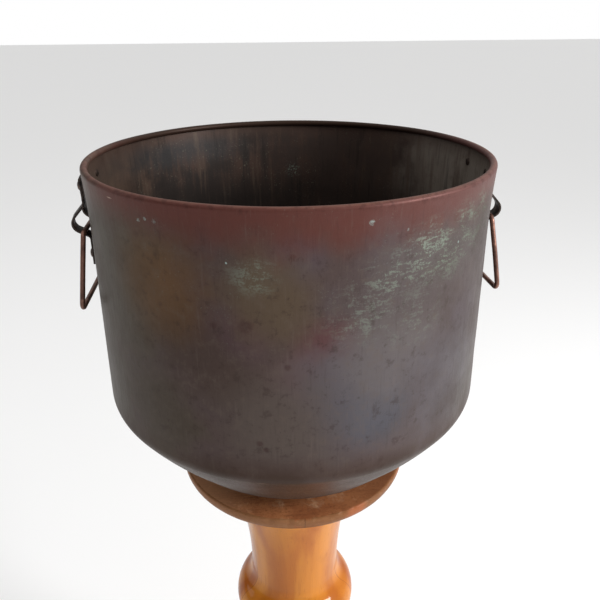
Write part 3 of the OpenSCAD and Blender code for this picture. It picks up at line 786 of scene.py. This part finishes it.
# Handle: lengths of its top and bottom bar and its height between their axes
HANDLE_TOP, HANDLE_BOTTOM, HANDLE_HEIGHT = 78.6 * MM, 116.8 * MM, 69 * MM
HALF_BUTT_GAP, ROUNDED_END = 0.35 * MM, 0.72


def flare_curve(basin):
    """Centre, radius and end angle of the curve that flares the wall."""
    rise = basin.flare_depth - basin.lip
    radius = (rise * rise + basin.flare * basin.flare) / (2 * basin.flare) - basin.lip
    centre = (basin.radius + radius, RIM_Z - basin.flare_depth)
    return centre, radius, math.degrees(math.asin(rise / (radius + basin.lip)))


def wall_at(basin, drop):
    """Outside radius and outward lean of the wall at a depth below the rim."""
    if drop > basin.flare_depth:
        return basin.radius, 0.0
    centre, radius, _ = flare_curve(basin)
    rise = basin.flare_depth - drop
    return centre[0] - math.sqrt(radius * radius - rise * rise), math.asin(rise / radius)


def basin_outline(basin):
    """Outer side from the tip of the roll to the middle of the bottom, then the inner side back."""
    def normal(a):
        return Vector((math.cos(math.radians(a)), -math.sin(math.radians(a))))

    flare, flare_r, flare_end = flare_curve(basin)
    lip = (basin.radius + basin.flare - basin.lip, RIM_Z - basin.lip)
    knuckle = Vector((basin.radius - KNUCKLE_R, RIM_Z - basin.wall_height))
    haunch = knuckle + (KNUCKLE_R - HAUNCH_R) * normal(KNUCKLE_END)
    cone_top = haunch + HAUNCH_R * normal(HAUNCH_END)
    turn = math.radians(HAUNCH_END)
    cone_end = cone_top + CONE * Vector((-math.sin(turn), -math.cos(turn)))
    sole = cone_end - SOLE_R * normal(HAUNCH_END)

    def side(inset):
        roll = arc(lip, basin.lip - inset, CURL_FROM, -flare_end, ROLL_STEPS)
        wall = arc(flare, flare_r + inset, 180 - flare_end, 180, 14)
        bends = (arc(knuckle, KNUCKLE_R - inset, 0, -KNUCKLE_END, 14)
                 + arc(haunch, HAUNCH_R - inset, -KNUCKLE_END, -HAUNCH_END, 8)
                 + arc(sole, SOLE_R - inset, -HAUNCH_END, -90, 26))
        return divided(roll + wall + bends + [(0.0, sole[1] - SOLE_R + inset)], 6 * MM)

    outer, inner = side(0.0), side(basin.sheet)
    inner.reverse()
    return outer, inner


def basin_dents(basin):
    """Shallow dents and an uneven wall, always inwards so that straps and handles stay clear."""
    marks = random.Random(11)
    knocks = [(marks.uniform(-math.pi, math.pi), RIM_Z - marks.uniform(0.04, 0.21),
               marks.uniform(9, 22) * MM, marks.uniform(0.3, 1.0)) for _ in range(16)]

    def shift(angle, radius, height):
        x, y = radius * math.cos(angle), radius * math.sin(angle)
        if height > RIM_Z - 1.4 * basin.lip:
            return 0.0, 0.12 * MM * soft_noise(x, y, 0, 16, 4.0)
        wave = 0.5 + 0.5 * soft_noise(x, y, height, 9, 1.7)
        depth = 0.5 * basin.dent * wave
        for at, z, size, power in knocks:
            away = turned_away(angle, at) * radius
            gap = (away * away + (height - z) ** 2) / (size * size)
            if gap < 6:
                depth += basin.dent * power * math.exp(-gap)
        fade = min(1.0, (RIM_Z - height) / (20 * MM)) * min(1.0, max(0.0, height - PLATE_Z) / (60 * MM))
        return -depth * fade, 0.0

    return shift


def bead(radius, height, half):
    return arc((radius, height), half, -90, 90, 12)


def column_outline():
    """The turned column from its underside to the face under the plate, in millimetres."""
    bottom, top = STEP_HI[2] / MM, PLATE_LO[2] / MM
    bulb = PLATE_Z / MM - 224.5
    bulb_r, round_r, neck_r, throat_r, stem_r, waist_r = 73, 31, 52.7, 30, 45, 24
    neck_curve, cove_r, collar_r = 500, 20, 88.5
    middle = bulb_r - round_r
    throat_turn = math.degrees(math.acos((neck_r + throat_r - middle) / (round_r + throat_r)))
    waist_turn = math.degrees(math.acos((stem_r + waist_r - middle) / (round_r + waist_r)))
    throat_z = bulb + (round_r + throat_r) * math.sin(math.radians(throat_turn))
    waist_z = bulb - (round_r + waist_r) * math.sin(math.radians(waist_turn))
    neck_turn = math.degrees(math.asin((top - 24 - throat_z) / neck_curve))
    reach = neck_curve - cove_r
    cove = (neck_r + neck_curve - reach * math.cos(math.radians(neck_turn)),
            throat_z + reach * math.sin(math.radians(neck_turn)))
    # Foot ring, torus, hollow and ring
    points = [(0, bottom), (73.4, bottom), (74, bottom + 0.6), (74, bottom + 5.4), (73.4, bottom + 6),
              (70, bottom + 6)]
    points += bead(63, bottom + 19, 13)
    points += [(58, bottom + 32), (58, bottom + 36)]
    points += arc((70, bottom + 58), 24, 246, 180, 12)
    points += [(46, bottom + 62), (42, bottom + 64), (42, bottom + 66)]
    points += bead(44, bottom + 73, 7)
    points += [(41, bottom + 80), (41, bottom + 84)]
    # Swelling shaft and the ring above it
    points += arc((-153, bottom + 142), 198, -15, 17.6, 24)
    points += [(35, bulb - 92), (35, bulb - 90)]
    points += bead(38, bulb - 83, 7)
    points += [(39, bulb - 76), (39, bulb - 73), (stem_r, bulb - 69)]
    # Bulb, neck and the collar under the plate
    points += arc((stem_r + waist_r, waist_z), waist_r, 180, 180 - waist_turn, 12)
    points += arc((middle, bulb), round_r, -waist_turn, throat_turn, 36)
    points += arc((neck_r + throat_r, throat_z), throat_r, 180 + throat_turn, 180, 14)
    points += arc((neck_r + neck_curve, throat_z), neck_curve, 180, 180 - neck_turn, 24)
    points += arc(cove, cove_r, 180 - neck_turn, 100, 12)
    points += [(collar_r - 0.5, top - 8.5), (collar_r, top - 8), (collar_r, top), (0, top)]
    return divided(scaled(points), 5 * MM)


def risen(points, base, longest):
    """An outline in millimetres, brought to metres and set on a base height."""
    return divided([(x, y + base) for x, y in scaled(points)], longest)


def plate_outline():
    rim, thick = PLATE_HI[0] / MM, (PLATE_Z - PLATE_LO[2]) / MM
    under, over = 13, 2
    points = [(0, 0)]
    points += arc((rim - under, under), under, -90, 0, 18)
    points += arc((rim - over, thick - over), over, 0, 90, 8)
    points += [(0, thick)]
    return risen(points, PLATE_LO[2], 5 * MM)


def plinth_outline():
    r, t = PLINTH_HI[0] / MM, (PLINTH_HI[2] - PLINTH_LO[2]) / MM
    recess_r, recess = 18, 12
    points = [(0, recess), (recess_r, recess), (recess_r, 0.4), (recess_r + 0.4, 0), (r - 3, 0)]
    points += arc((r - 3, 3), 3, -90, 0, 5)
    points += [(r, 11.5), (r - 0.5, 12), (r - 2.5, 14.2), (r - 2.5, 16)]
    points += arc((r - 13, 16), 9, 0, 75, 12)
    points += [(r - 13, t - 3), (r - 15.4, t - 0.5), (r - 16.4, t), (0, t)]
    return risen(points, PLINTH_LO[2], 6 * MM)


def step_outline():
    r, t = STEP_HI[0] / MM, (STEP_HI[2] - STEP_LO[2]) / MM
    points = [(0, 0), (r - 0.6, 0), (r, 0.6), (r, 5)]
    points += arc((r - 12, 5), 11, 0, 80, 12)
    points += [(r - 12, t - 5), (r - 13.8, t - 0.6), (r - 14.6, t), (0, t)]
    return risen(points, STEP_LO[2], 5 * MM)


def foot_outline():
    r, top = (FOOT_HI[0] - FOOT_LO[0]) / 2 / MM, (FOOT_HI[2] - FOOT_LO[2]) / MM
    recess_r, recess, bun = 8, 5, 8
    points = [(0, recess), (recess_r, recess), (recess_r, 0.3), (recess_r + 0.3, 0), (r - bun, 0)]
    points += arc((r - bun, bun), bun, -80, 0, 12)
    points += arc((r - bun, bun), bun, 10, 70, 10)
    points += [(r - bun + 1, top - 3), (r - bun + 1, top), (0, top)]
    return risen(points, FOOT_LO[2], 3 * MM)


def strap_line(metal, basin):
    """Middle line of the strap metal as (distance from the axis, height), with its folded top end."""
    reach = 8.5 * MM
    turn = (metal.strap + FOLD_GAP) / 2
    wall_r, lean = wall_at(basin, UPPER_RIVET)

    def at_fold(up, out):
        return (wall_r + up * math.sin(lean) + out * math.cos(lean),
                RIM_Z - UPPER_RIVET + up * math.cos(lean) - out * math.sin(lean))

    out = STRAP_GAP + metal.strap + FOLD_GAP / 2
    tilt = math.degrees(lean)
    knee = at_fold(-reach, out + turn)
    lower = basin.radius + STRAP_GAP + metal.strap / 2
    entry, leaving = arc(LOOP, LOOP_R, LOOP_FROM, LOOP_TO, 1)
    rise = (entry[0] - knee[0]) / math.tan(math.radians(LOOP_FROM))
    fall = (leaving[0] - lower) * math.tan(math.radians(90 + LOOP_TO))
    line = [at_fold(-reach, out - turn)]
    line += arc(at_fold(reach - turn - metal.strap / 2, out), turn, 180 - tilt, -tilt, 12)
    # The straight stretches meet the loop's slopes in soft bends
    line += [knee]
    line += [(knee[0] + across * MM, entry[1] + rise + up * MM)
             for across, up in ((0, 3), (0.15, 0.9), (0.9, -1.0))]
    line += arc(LOOP, LOOP_R, LOOP_FROM, LOOP_TO, 22)
    line += [(lower + across * MM, leaving[1] - fall + up * MM)
             for across, up in ((1.4, 0.8), (0.35, -0.5), (0, -2.2))]
    line += [(lower, STRAP_END)]
    return divided(line, 2.5 * MM)


# ---------------------------------------------------------------- Metal pieces

def strap_mesh(metal, basin, azimuth, seed):
    """A strap bent from sheet, with rounded edges, at one azimuth on the wall."""
    line = strap_line(metal, basin)
    soft = 0.45 * MM
    half_w = metal.strap_half_angle * basin.radius
    half_t = metal.strap / 2
    section = []
    for right, top, first in ((1, 1, 0), (-1, 1, 90), (-1, -1, 180), (1, -1, 270)):
        section += arc((right * (half_w - soft), top * (half_t - soft)), soft, first, first + 90, 3)
    verts = []
    for i, (r, z) in enumerate(line):
        d = line_direction(line, i)
        out = Vector((-d[1], d[0]))
        worn = 1.0 - 0.05 * abs(soft_noise(0, seed, z, 60, seed))
        for across, through in section:
            reach = r + out[0] * through
            a = azimuth + across * worn / basin.radius
            verts.append((reach * math.cos(a), reach * math.sin(a), z + out[1] * through))
    return verts, swept_faces(len(line), len(section))


def rivet_mesh(basin, azimuth, drop, layers, metal, seed):
    """A hand-set rivet: a hammered dome outside and a flattened tail inside."""
    inner = -basin.sheet - RIVET_GAP
    outer = STRAP_GAP + layers * metal.strap + (layers - 1) * FOLD_GAP + RIVET_GAP
    shank, head, edge, dome = 2.0 * MM, 4.4 * MM, 0.35 * MM, 1.8 * MM
    outline = [(0, inner - 1.0 * MM), (2.9 * MM, inner - 1.0 * MM), (3.5 * MM, inner - 0.7 * MM),
               (3.8 * MM, inner), (shank, inner), (shank, outer), (head, outer)]
    outline += [(head * x, outer + edge + dome * y) for x, y in arc((0, 0), 1, 0, 90, 6)]

    def hammered(angle, radius, height):
        if height < outer:
            return 0.0, 0.0
        flat = soft_noise(radius * math.cos(angle), radius * math.sin(angle), height, 520, seed)
        return 0.0, -0.22 * MM * abs(flat)

    verts, faces, _ = lathe(outline, 28, shift=hammered)
    wall_r, lean = wall_at(basin, drop)
    turn = (Matrix.Rotation(azimuth, 4, "Z") @ Matrix.Translation((wall_r, 0, RIM_Z - drop))
            @ Matrix.Rotation(math.pi / 2 + lean, 4, "Y"))
    return [tuple(turn @ Vector(v)) for v in verts], faces


def wire_route(metal):
    """The handle's middle line in its own plane, from the middle of the top bar round to it again."""
    top_w, low_w = HANDLE_TOP / 2, HANDLE_BOTTOM / 2
    corners = [Vector(corner) for corner in
               ((-top_w, 0), (top_w, 0), (low_w, -HANDLE_HEIGHT), (-low_w, -HANDLE_HEIGHT))]
    route = [Vector((HALF_BUTT_GAP, 0))]
    for i in (1, 2, 3, 0):
        before, corner, after = corners[i - 1], corners[i], corners[(i + 1) % 4]
        inward, onward = (corner - before).normalized(), (after - corner).normalized()
        turn = math.acos(max(-1.0, min(1.0, inward.dot(onward))))
        trim = metal.bend * math.tan(turn / 2)
        start = corner - inward * trim
        side = Vector((inward[1], -inward[0]))
        centre = start + side * metal.bend
        for k in range(11):
            a = turn * k / 10
            route.append(centre - side * metal.bend * math.cos(a) + inward * metal.bend * math.sin(a))
    route.append(Vector((-HALF_BUTT_GAP, 0)))
    return divided([tuple(p) for p in route], 4 * MM)


def handle_mesh(metal, side):
    """Hand-bent wire swept along its route, with rounded ends that butt in the top bar."""
    route = wire_route(metal)
    ring, verts = 18, []
    hang = (Matrix.Translation((side * SWING_POS[0], 0, SWING_POS[2]))
            @ Matrix.Rotation(-side * metal.lean, 4, "Y"))
    flat = Vector((1, 0, 0))
    for i, (y, z) in enumerate(route):
        up = Vector((0, *line_direction(route, i))).cross(flat)
        fade = min(1.0, max(0.0, (-z - 6 * MM) / (25 * MM)))
        sway = 0.7 * MM * fade * soft_noise(side * 2.0, y, z, 14, 3.0 * side)
        size = metal.wire * (0.985 + 0.03 * soft_noise(side, y, z, 45, 7.0))
        if i in (0, len(route) - 1):
            size *= ROUNDED_END
        for k in range(ring):
            a = TAU * k / ring
            p = Vector((sway, y, z)) + size * (math.cos(a) * flat + math.sin(a) * up)
            verts.append(tuple(hang @ p))
    return verts, swept_faces(len(route), ring)


def wood_waver(seed, amount=0.12 * MM):
    """The faint unevenness that sanding leaves on turned wood."""
    def shift(angle, radius, height):
        x, y = radius * math.cos(angle), radius * math.sin(angle)
        return amount * soft_noise(x, y, height, 30, seed), 0.0
    return shift


FOOT_TURNS = 72
# Distance of the plate's screws from the middle
SCREW_RING = 38 * MM
# Chips in the plate's edge: azimuth in degrees, half width in radians, depth in millimetres
CHIPS = [(-97, 0.05, 1.0), (-72, 0.035, 1.5), (-66, 0.02, 1.1), (-121, 0.03, 0.8), (-40, 0.04, 0.9)]


def plate_knocks():
    """Chips and flats along the plate's edge."""
    marks = random.Random(5)
    chips = [(math.radians(azimuth), width, deep) for azimuth, width, deep in CHIPS]
    chips += [(marks.uniform(-math.pi, math.pi), marks.uniform(0.015, 0.05), marks.uniform(0.4, 1.2))
              for _ in range(14)]

    def shift(angle, radius, height):
        x, y = radius * math.cos(angle), radius * math.sin(angle)
        dr = 0.10 * MM * soft_noise(x, y, height, 26, 2.0)
        if radius > PLATE_HI[0] - 4 * MM:
            crest = bell(height, PLATE_Z - 1.5 * MM, 3.5 * MM)
            for at, width, deep in chips:
                away = turned_away(angle, at) / width
                if away < 1:
                    dr -= deep * MM * crest * (1 - away) * (0.7 + 0.6 * soft_noise(x, y, height, 160, 1.0))
        return dr, 0.0

    return shift


def turn_wood(name, outline, turns, finish, node, seed, centre=(0.0, 0.0)):
    """A turned wooden piece of the pedestal."""
    verts, faces, _ = lathe(outline, turns, centre=centre, shift=wood_waver(seed))
    make_piece(name, verts, faces, [finish], "pedestal", node)


def drill(piece, cutters):
    """Cuts the room of screw heads out of a piece."""
    mesh = bpy.data.meshes.new("cutter")
    verts, faces = joined(cutters)
    mesh.from_pydata(verts, [], faces)
    mesh.materials.append(piece.data.materials[0])
    tool = add_object("cutter", mesh)
    cut = piece.modifiers.new("drill", "BOOLEAN")
    cut.operation = "DIFFERENCE"
    cut.solver = "EXACT"
    cut.object = tool
    graph = bpy.context.evaluated_depsgraph_get()
    result = bpy.data.meshes.new_from_object(piece.evaluated_get(graph))
    piece.modifiers.remove(cut)
    piece.data = result
    bpy.data.objects.remove(tool)


def screw_room(x, y, top):
    """A countersunk hole in a top face, as a closed turned shape."""
    head, shank, straight, deep, proud = 4.65, 2.4, 0.9, 3.8, 1
    outline = scaled([(0, -deep), (shank, -deep), (head, -straight), (head, proud), (0, proud)])
    verts, faces, _ = lathe([(r, top + h) for r, h in outline], 32, centre=(x, y))
    return verts, faces


# ---------------------------------------------------------------- Operators

# The two sides of the basin, with the azimuth of each
SIDES = (("left", math.pi), ("right", 0.0))


def paint_node(node, material):
    """Gives a CAD node that stays in view its finish."""
    obj = frame["nodes"][node]
    obj.data.materials.clear()
    obj.data.materials.append(material)


class FONT_OT_basin(bpy.types.Operator):
    """Builds the copper basin with its rolled rim"""
    bl_idname = "font.basin"
    bl_label = "Copper Basin"

    def execute(self, context):
        basin = context.scene.font_basin
        outer, inner = basin_outline(basin)
        outside, inside = copper_outside(basin), copper_inside(basin)
        below_roll = len(outer) + len(inner) - ROLL_STEPS - 1

        def zone(row):
            return 1 if len(outer) <= row < below_roll else 0

        verts, faces, marks = lathe(outer + inner, BASIN_TURNS, shift=basin_dents(basin), closed=True,
                                    zone=zone)
        make_piece("copper_basin", verts, [list(reversed(face)) for face in faces], [outside, inside],
                   "basin", "basin_shell", marks)
        wire = old_copper("rim_wire_copper", (0.20, 0.09, 0.06), (0.4, 0.22, 0.15), (0.08, 0.04, 0.03))
        paint_node("rim_wire", wire)
        return {"FINISHED"}


class FONT_OT_straps(bpy.types.Operator):
    """Builds the four bent straps that hold the handles"""
    bl_idname = "font.straps"
    bl_label = "Strap Brackets"

    def execute(self, context):
        basin, metal = context.scene.font_basin, context.scene.font_metalwork
        finish = old_copper("blackened_strap", metal.strap_colour, (0.24, 0.185, 0.150),
                            (0.016, 0.012, 0.010), 0.55, 0.5)
        for side, base in SIDES:
            for end, sign in (("front", -1), ("back", 1)):
                turn = sign if side == "right" else -sign
                azimuth = base + turn * metal.strap_azimuth
                verts, faces = strap_mesh(metal, basin, azimuth, 3.0 + sign + base)
                make_piece(f"{side}_{end}_bent_strap", verts, faces, [finish], "basin",
                           f"{side}_{end}_strap")
        return {"FINISHED"}


class FONT_OT_rivets(bpy.types.Operator):
    """Builds the hammered rivets"""
    bl_idname = "font.rivets"
    bl_label = "Rivets"

    def execute(self, context):
        basin, metal = context.scene.font_basin, context.scene.font_metalwork
        finish = old_copper("rivet_copper", (0.070, 0.045, 0.036), (0.26, 0.17, 0.13),
                            (0.02, 0.015, 0.012))
        for side, base in SIDES:
            parts = []
            for sign in (-1, 1):
                azimuth = base + sign * metal.strap_azimuth
                parts.append(rivet_mesh(basin, azimuth, UPPER_RIVET, 2, metal, 1.0 + sign))
                parts.append(rivet_mesh(basin, azimuth, LOWER_RIVET, 1, metal, 5.0 + sign))
            verts, faces = joined(parts)
            make_piece(f"{side}_hammered_rivets", verts, faces, [finish], "basin",
                       f"{side}_strap_rivets")
        return {"FINISHED"}


class FONT_OT_handles(bpy.types.Operator):
    """Builds the two wire handles"""
    bl_idname = "font.handles"
    bl_label = "Wire Handles"

    def execute(self, context):
        metal = context.scene.font_metalwork
        finish = old_copper("handle_wire_copper", metal.handle_colour, (0.42, 0.24, 0.18),
                            (0.120, 0.060, 0.045), 0.7, 0.38)
        for name, side in (("left", -1), ("right", 1)):
            verts, faces = handle_mesh(metal, side)
            make_piece(f"{name}_wire_handle", verts, faces, [finish], f"{name}_handle",
                       f"{name}_handle")
        return {"FINISHED"}


class FONT_OT_column(bpy.types.Operator):
    """Builds the turned column"""
    bl_idname = "font.column"
    bl_label = "Turned Column"

    def execute(self, context):
        wood = context.scene.font_wood
        finish = varnished_wood("column_wood", wood, "y")
        turn_wood("turned_wood_column", column_outline(), wood.turns, finish,
                  "turned_column", 3.0)
        return {"FINISHED"}


class FONT_OT_plate(bpy.types.Operator):
    """Builds the plate that the basin stands on"""
    bl_idname = "font.plate"
    bl_label = "Top Plate"

    def execute(self, context):
        wood = context.scene.font_wood
        verts, faces, _ = lathe(plate_outline(), wood.turns * 3, shift=plate_knocks())
        plate = make_piece("worn_top_plate", verts, faces, [plate_wood(wood)], "pedestal",
                           "top_plate")
        heads = []
        for corner in range(4):
            a = math.radians(45 + 90 * corner)
            heads.append(screw_room(SCREW_RING * math.cos(a), SCREW_RING * math.sin(a), PLATE_Z))
        drill(plate, heads)
        smooth_by_angle(plate)
        return {"FINISHED"}


class FONT_OT_base(bpy.types.Operator):
    """Builds the moulded plinth and the step on it"""
    bl_idname = "font.base"
    bl_label = "Base Mouldings"

    def execute(self, context):
        wood = context.scene.font_wood
        finish = varnished_wood("base_wood", wood, "y", 0.12, 0, 96 * MM, (0.0, 0.10, 0.11))
        for name, outline, node, seed in (("moulded_plinth", plinth_outline(), "base_plinth", 8.0),
                                          ("moulded_step", step_outline(), "base_step", 9.0)):
            turn_wood(name, outline, wood.turns, finish, node, seed)
        return {"FINISHED"}


class FONT_OT_feet(bpy.types.Operator):
    """Builds the four bun feet"""
    bl_idname = "font.feet"
    bl_label = "Bun Feet"

    def execute(self, context):
        wood = context.scene.font_wood
        finish = varnished_wood("foot_wood", wood, "x", 0.25, 2, 60 * MM)
        for number in range(1, 5):
            lo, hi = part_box(f"foot_{number}")
            centre = ((lo[0] + hi[0]) / 2, (lo[1] + hi[1]) / 2)
            turn_wood(f"bun_foot_{number}", foot_outline(), FOOT_TURNS, finish,
                      f"foot_{number}", number, centre)
        return {"FINISHED"}


class FONT_OT_fixings(bpy.types.Operator):
    """Finishes the screws, the bolt and its washer"""
    bl_idname = "font.fixings"
    bl_label = "Screws and Bolt"

    def execute(self, context):
        brass = plain_metal("dull_brass", (0.55, 0.40, 0.16), (0.28, 0.19, 0.08), 0.35)
        steel = plain_metal("zinc_steel", (0.52, 0.52, 0.50), (0.30, 0.29, 0.27), 0.4)
        for node in ("foot_screws", "step_screws", "plate_screws"):
            paint_node(node, brass)
        for node in ("column_bolt", "column_washer"):
            paint_node(node, steel)
        return {"FINISHED"}


# Light from the shaded side, as a part of the light from the window's side
SHADED_SIDE = 0.12


class FONT_OT_stage(bpy.types.Operator):
    """Sets the floor, the light and the camera"""
    bl_idname = "font.stage"
    bl_label = "Stage"

    def execute(self, context):
        stage = context.scene.font_stage
        self.floor(stage)
        self.sky(context.scene, stage)
        self.lamps(stage)
        self.camera(context.scene)
        return {"FINISHED"}

    def floor(self, stage):
        mesh = bpy.data.meshes.new("floor")
        reach = 30.0
        corners = [(x * reach, y * reach, 0) for x, y in ((-1, -1), (1, -1), (1, 1), (-1, 1))]
        mesh.from_pydata(corners, [], [(0, 1, 2, 3)])
        f = Finish("pale_floor")
        tone = f.mix(f.times(f.noise(3, 3), 0.04), tuple(stage.floor), (0.86, 0.86, 0.86))
        mesh.materials.append(f.done(tone, 0.9, f.bump(f.noise(90, 3), 0.2 * MM, 0.1)))
        floor = add_object("floor", mesh)

    def sky(self, scene, stage):
        """Soft light that is darker on the left than on the window's side."""
        world = bpy.data.worlds.new("soft_sky")
        world.use_nodes = True
        sky = Nodes(world.node_tree)
        way = sky.node("SeparateXYZ", {0: sky.node("TexCoord").outputs["Generated"]})
        fade = sky.node("MapRange", {"Value": way.outputs["X"], "From Min": -0.9, "From Max": 0.9,
                                     "To Min": stage.sky * SHADED_SIDE, "To Max": stage.sky})
        around = sky.node("Background", {"Color": (1.0, 0.995, 0.985), "Strength": fade.outputs["Result"]})
        behind = sky.node("Background", {"Color": (1.0, 1.0, 1.0), "Strength": 1.0})
        seen = sky.node("LightPath").outputs["Is Camera Ray"]
        blend = sky.node("MixShader", {0: seen, 1: around.outputs[0], 2: behind.outputs[0]})
        sky.feed(sky.tree.nodes["World Output"].inputs["Surface"], blend.outputs[0])
        scene.world = world
        scene.view_settings.view_transform = "Standard"

    def lamps(self, stage):
        target = Vector((0, 0, RIM_Z - 0.30))
        for name, way, distance, size, power in (
                ("window", (0.80, -0.42, 0.43), 2.4, (0.6, 1.0), stage.window),
                ("far_window", (-0.85, 0.25, 0.35), 3.0, (1.2, 1.6), stage.window * SHADED_SIDE)):
            lamp = bpy.data.lights.new(name, "AREA")
            lamp.shape = "RECTANGLE"
            lamp.size, lamp.size_y = size
            lamp.energy = power
            holder = add_object(name, lamp)
            holder.location = target + Vector(way).normalized() * distance
            holder.rotation_euler = Vector(way).to_track_quat("Z", "Y").to_euler()
        ceiling = bpy.data.lights.new("ceiling", "SUN")
        ceiling.angle = math.radians(120)
        ceiling.energy = stage.ceiling
        add_object("ceiling", ceiling)

    def camera(self, scene):
        # Distance from the axis and height over the rim, then the turns in radians
        away, above = 0.5944, 0.1197
        swing, yaw, pitch, roll = 0.0869, 0.0159, 0.3703, -0.0068
        level = math.cos(pitch)
        look = Vector((math.sin(yaw) * level, math.cos(yaw) * level, -math.sin(pitch)))
        right = Vector((math.cos(yaw), -math.sin(yaw), 0))
        up = right.cross(look)
        across = right * math.cos(roll) + up * math.sin(roll)
        upright = up * math.cos(roll) - right * math.sin(roll)
        axes = Matrix((across, upright, -look)).transposed().to_4x4()
        turn = Matrix.Rotation(-swing, 4, "Z")
        lens = bpy.data.cameras.new("camera")
        lens.lens, lens.sensor_width = 37.18, 36.0
        lens.shift_y = -0.07
        lens.clip_start = 0.02
        camera = add_object("camera", lens)
        camera.matrix_world = turn @ Matrix.Translation((0, -away, RIM_Z + above)) @ axes
        scene.camera = camera


class FONT_PT_pieces(bpy.types.Panel):
    """Lists the font's pieces in the sidebar"""
    bl_label = "Baptismal Font"
    bl_idname = "FONT_PT_pieces"
    bl_space_type = "VIEW_3D"
    bl_region_type = "UI"
    bl_category = "Font"

    def draw(self, context):
        column = self.layout.column()
        for operator in OPERATORS:
            column.operator(operator.bl_idname)
        for name, _ in SETTINGS:
            settings = getattr(context.scene, name)
            box = self.layout.box()
            for key in settings.bl_rna.properties.keys():
                if key not in ("rna_type", "name"):
                    box.prop(settings, key)


OPERATORS = (FONT_OT_basin, FONT_OT_straps, FONT_OT_rivets, FONT_OT_handles, FONT_OT_column, FONT_OT_plate,
             FONT_OT_base, FONT_OT_feet, FONT_OT_fixings, FONT_OT_stage)
SETTINGS = (("font_basin", FontBasinSettings), ("font_metalwork", FontMetalworkSettings),
            ("font_wood", FontWoodSettings), ("font_stage", FontStageSettings))


def register():
    for name, group in SETTINGS:
        bpy.utils.register_class(group)
        setattr(bpy.types.Scene, name, PointerProperty(type=group))
    for item in (*OPERATORS, FONT_PT_pieces):
        bpy.utils.register_class(item)


def unregister():
    for item in reversed((*OPERATORS, FONT_PT_pieces)):
        bpy.utils.unregister_class(item)
    for name, group in reversed(SETTINGS):
        delattr(bpy.types.Scene, name)
        bpy.utils.unregister_class(group)


def main():
    register()
    bpy.ops.font.basin()
    bpy.ops.font.straps()
    bpy.ops.font.rivets()
    bpy.ops.font.handles()
    bpy.ops.font.column()
    bpy.ops.font.plate()
    bpy.ops.font.base()
    bpy.ops.font.feet()
    bpy.ops.font.fixings()
    bpy.ops.font.stage()


if __name__ == "__main__":
    main()
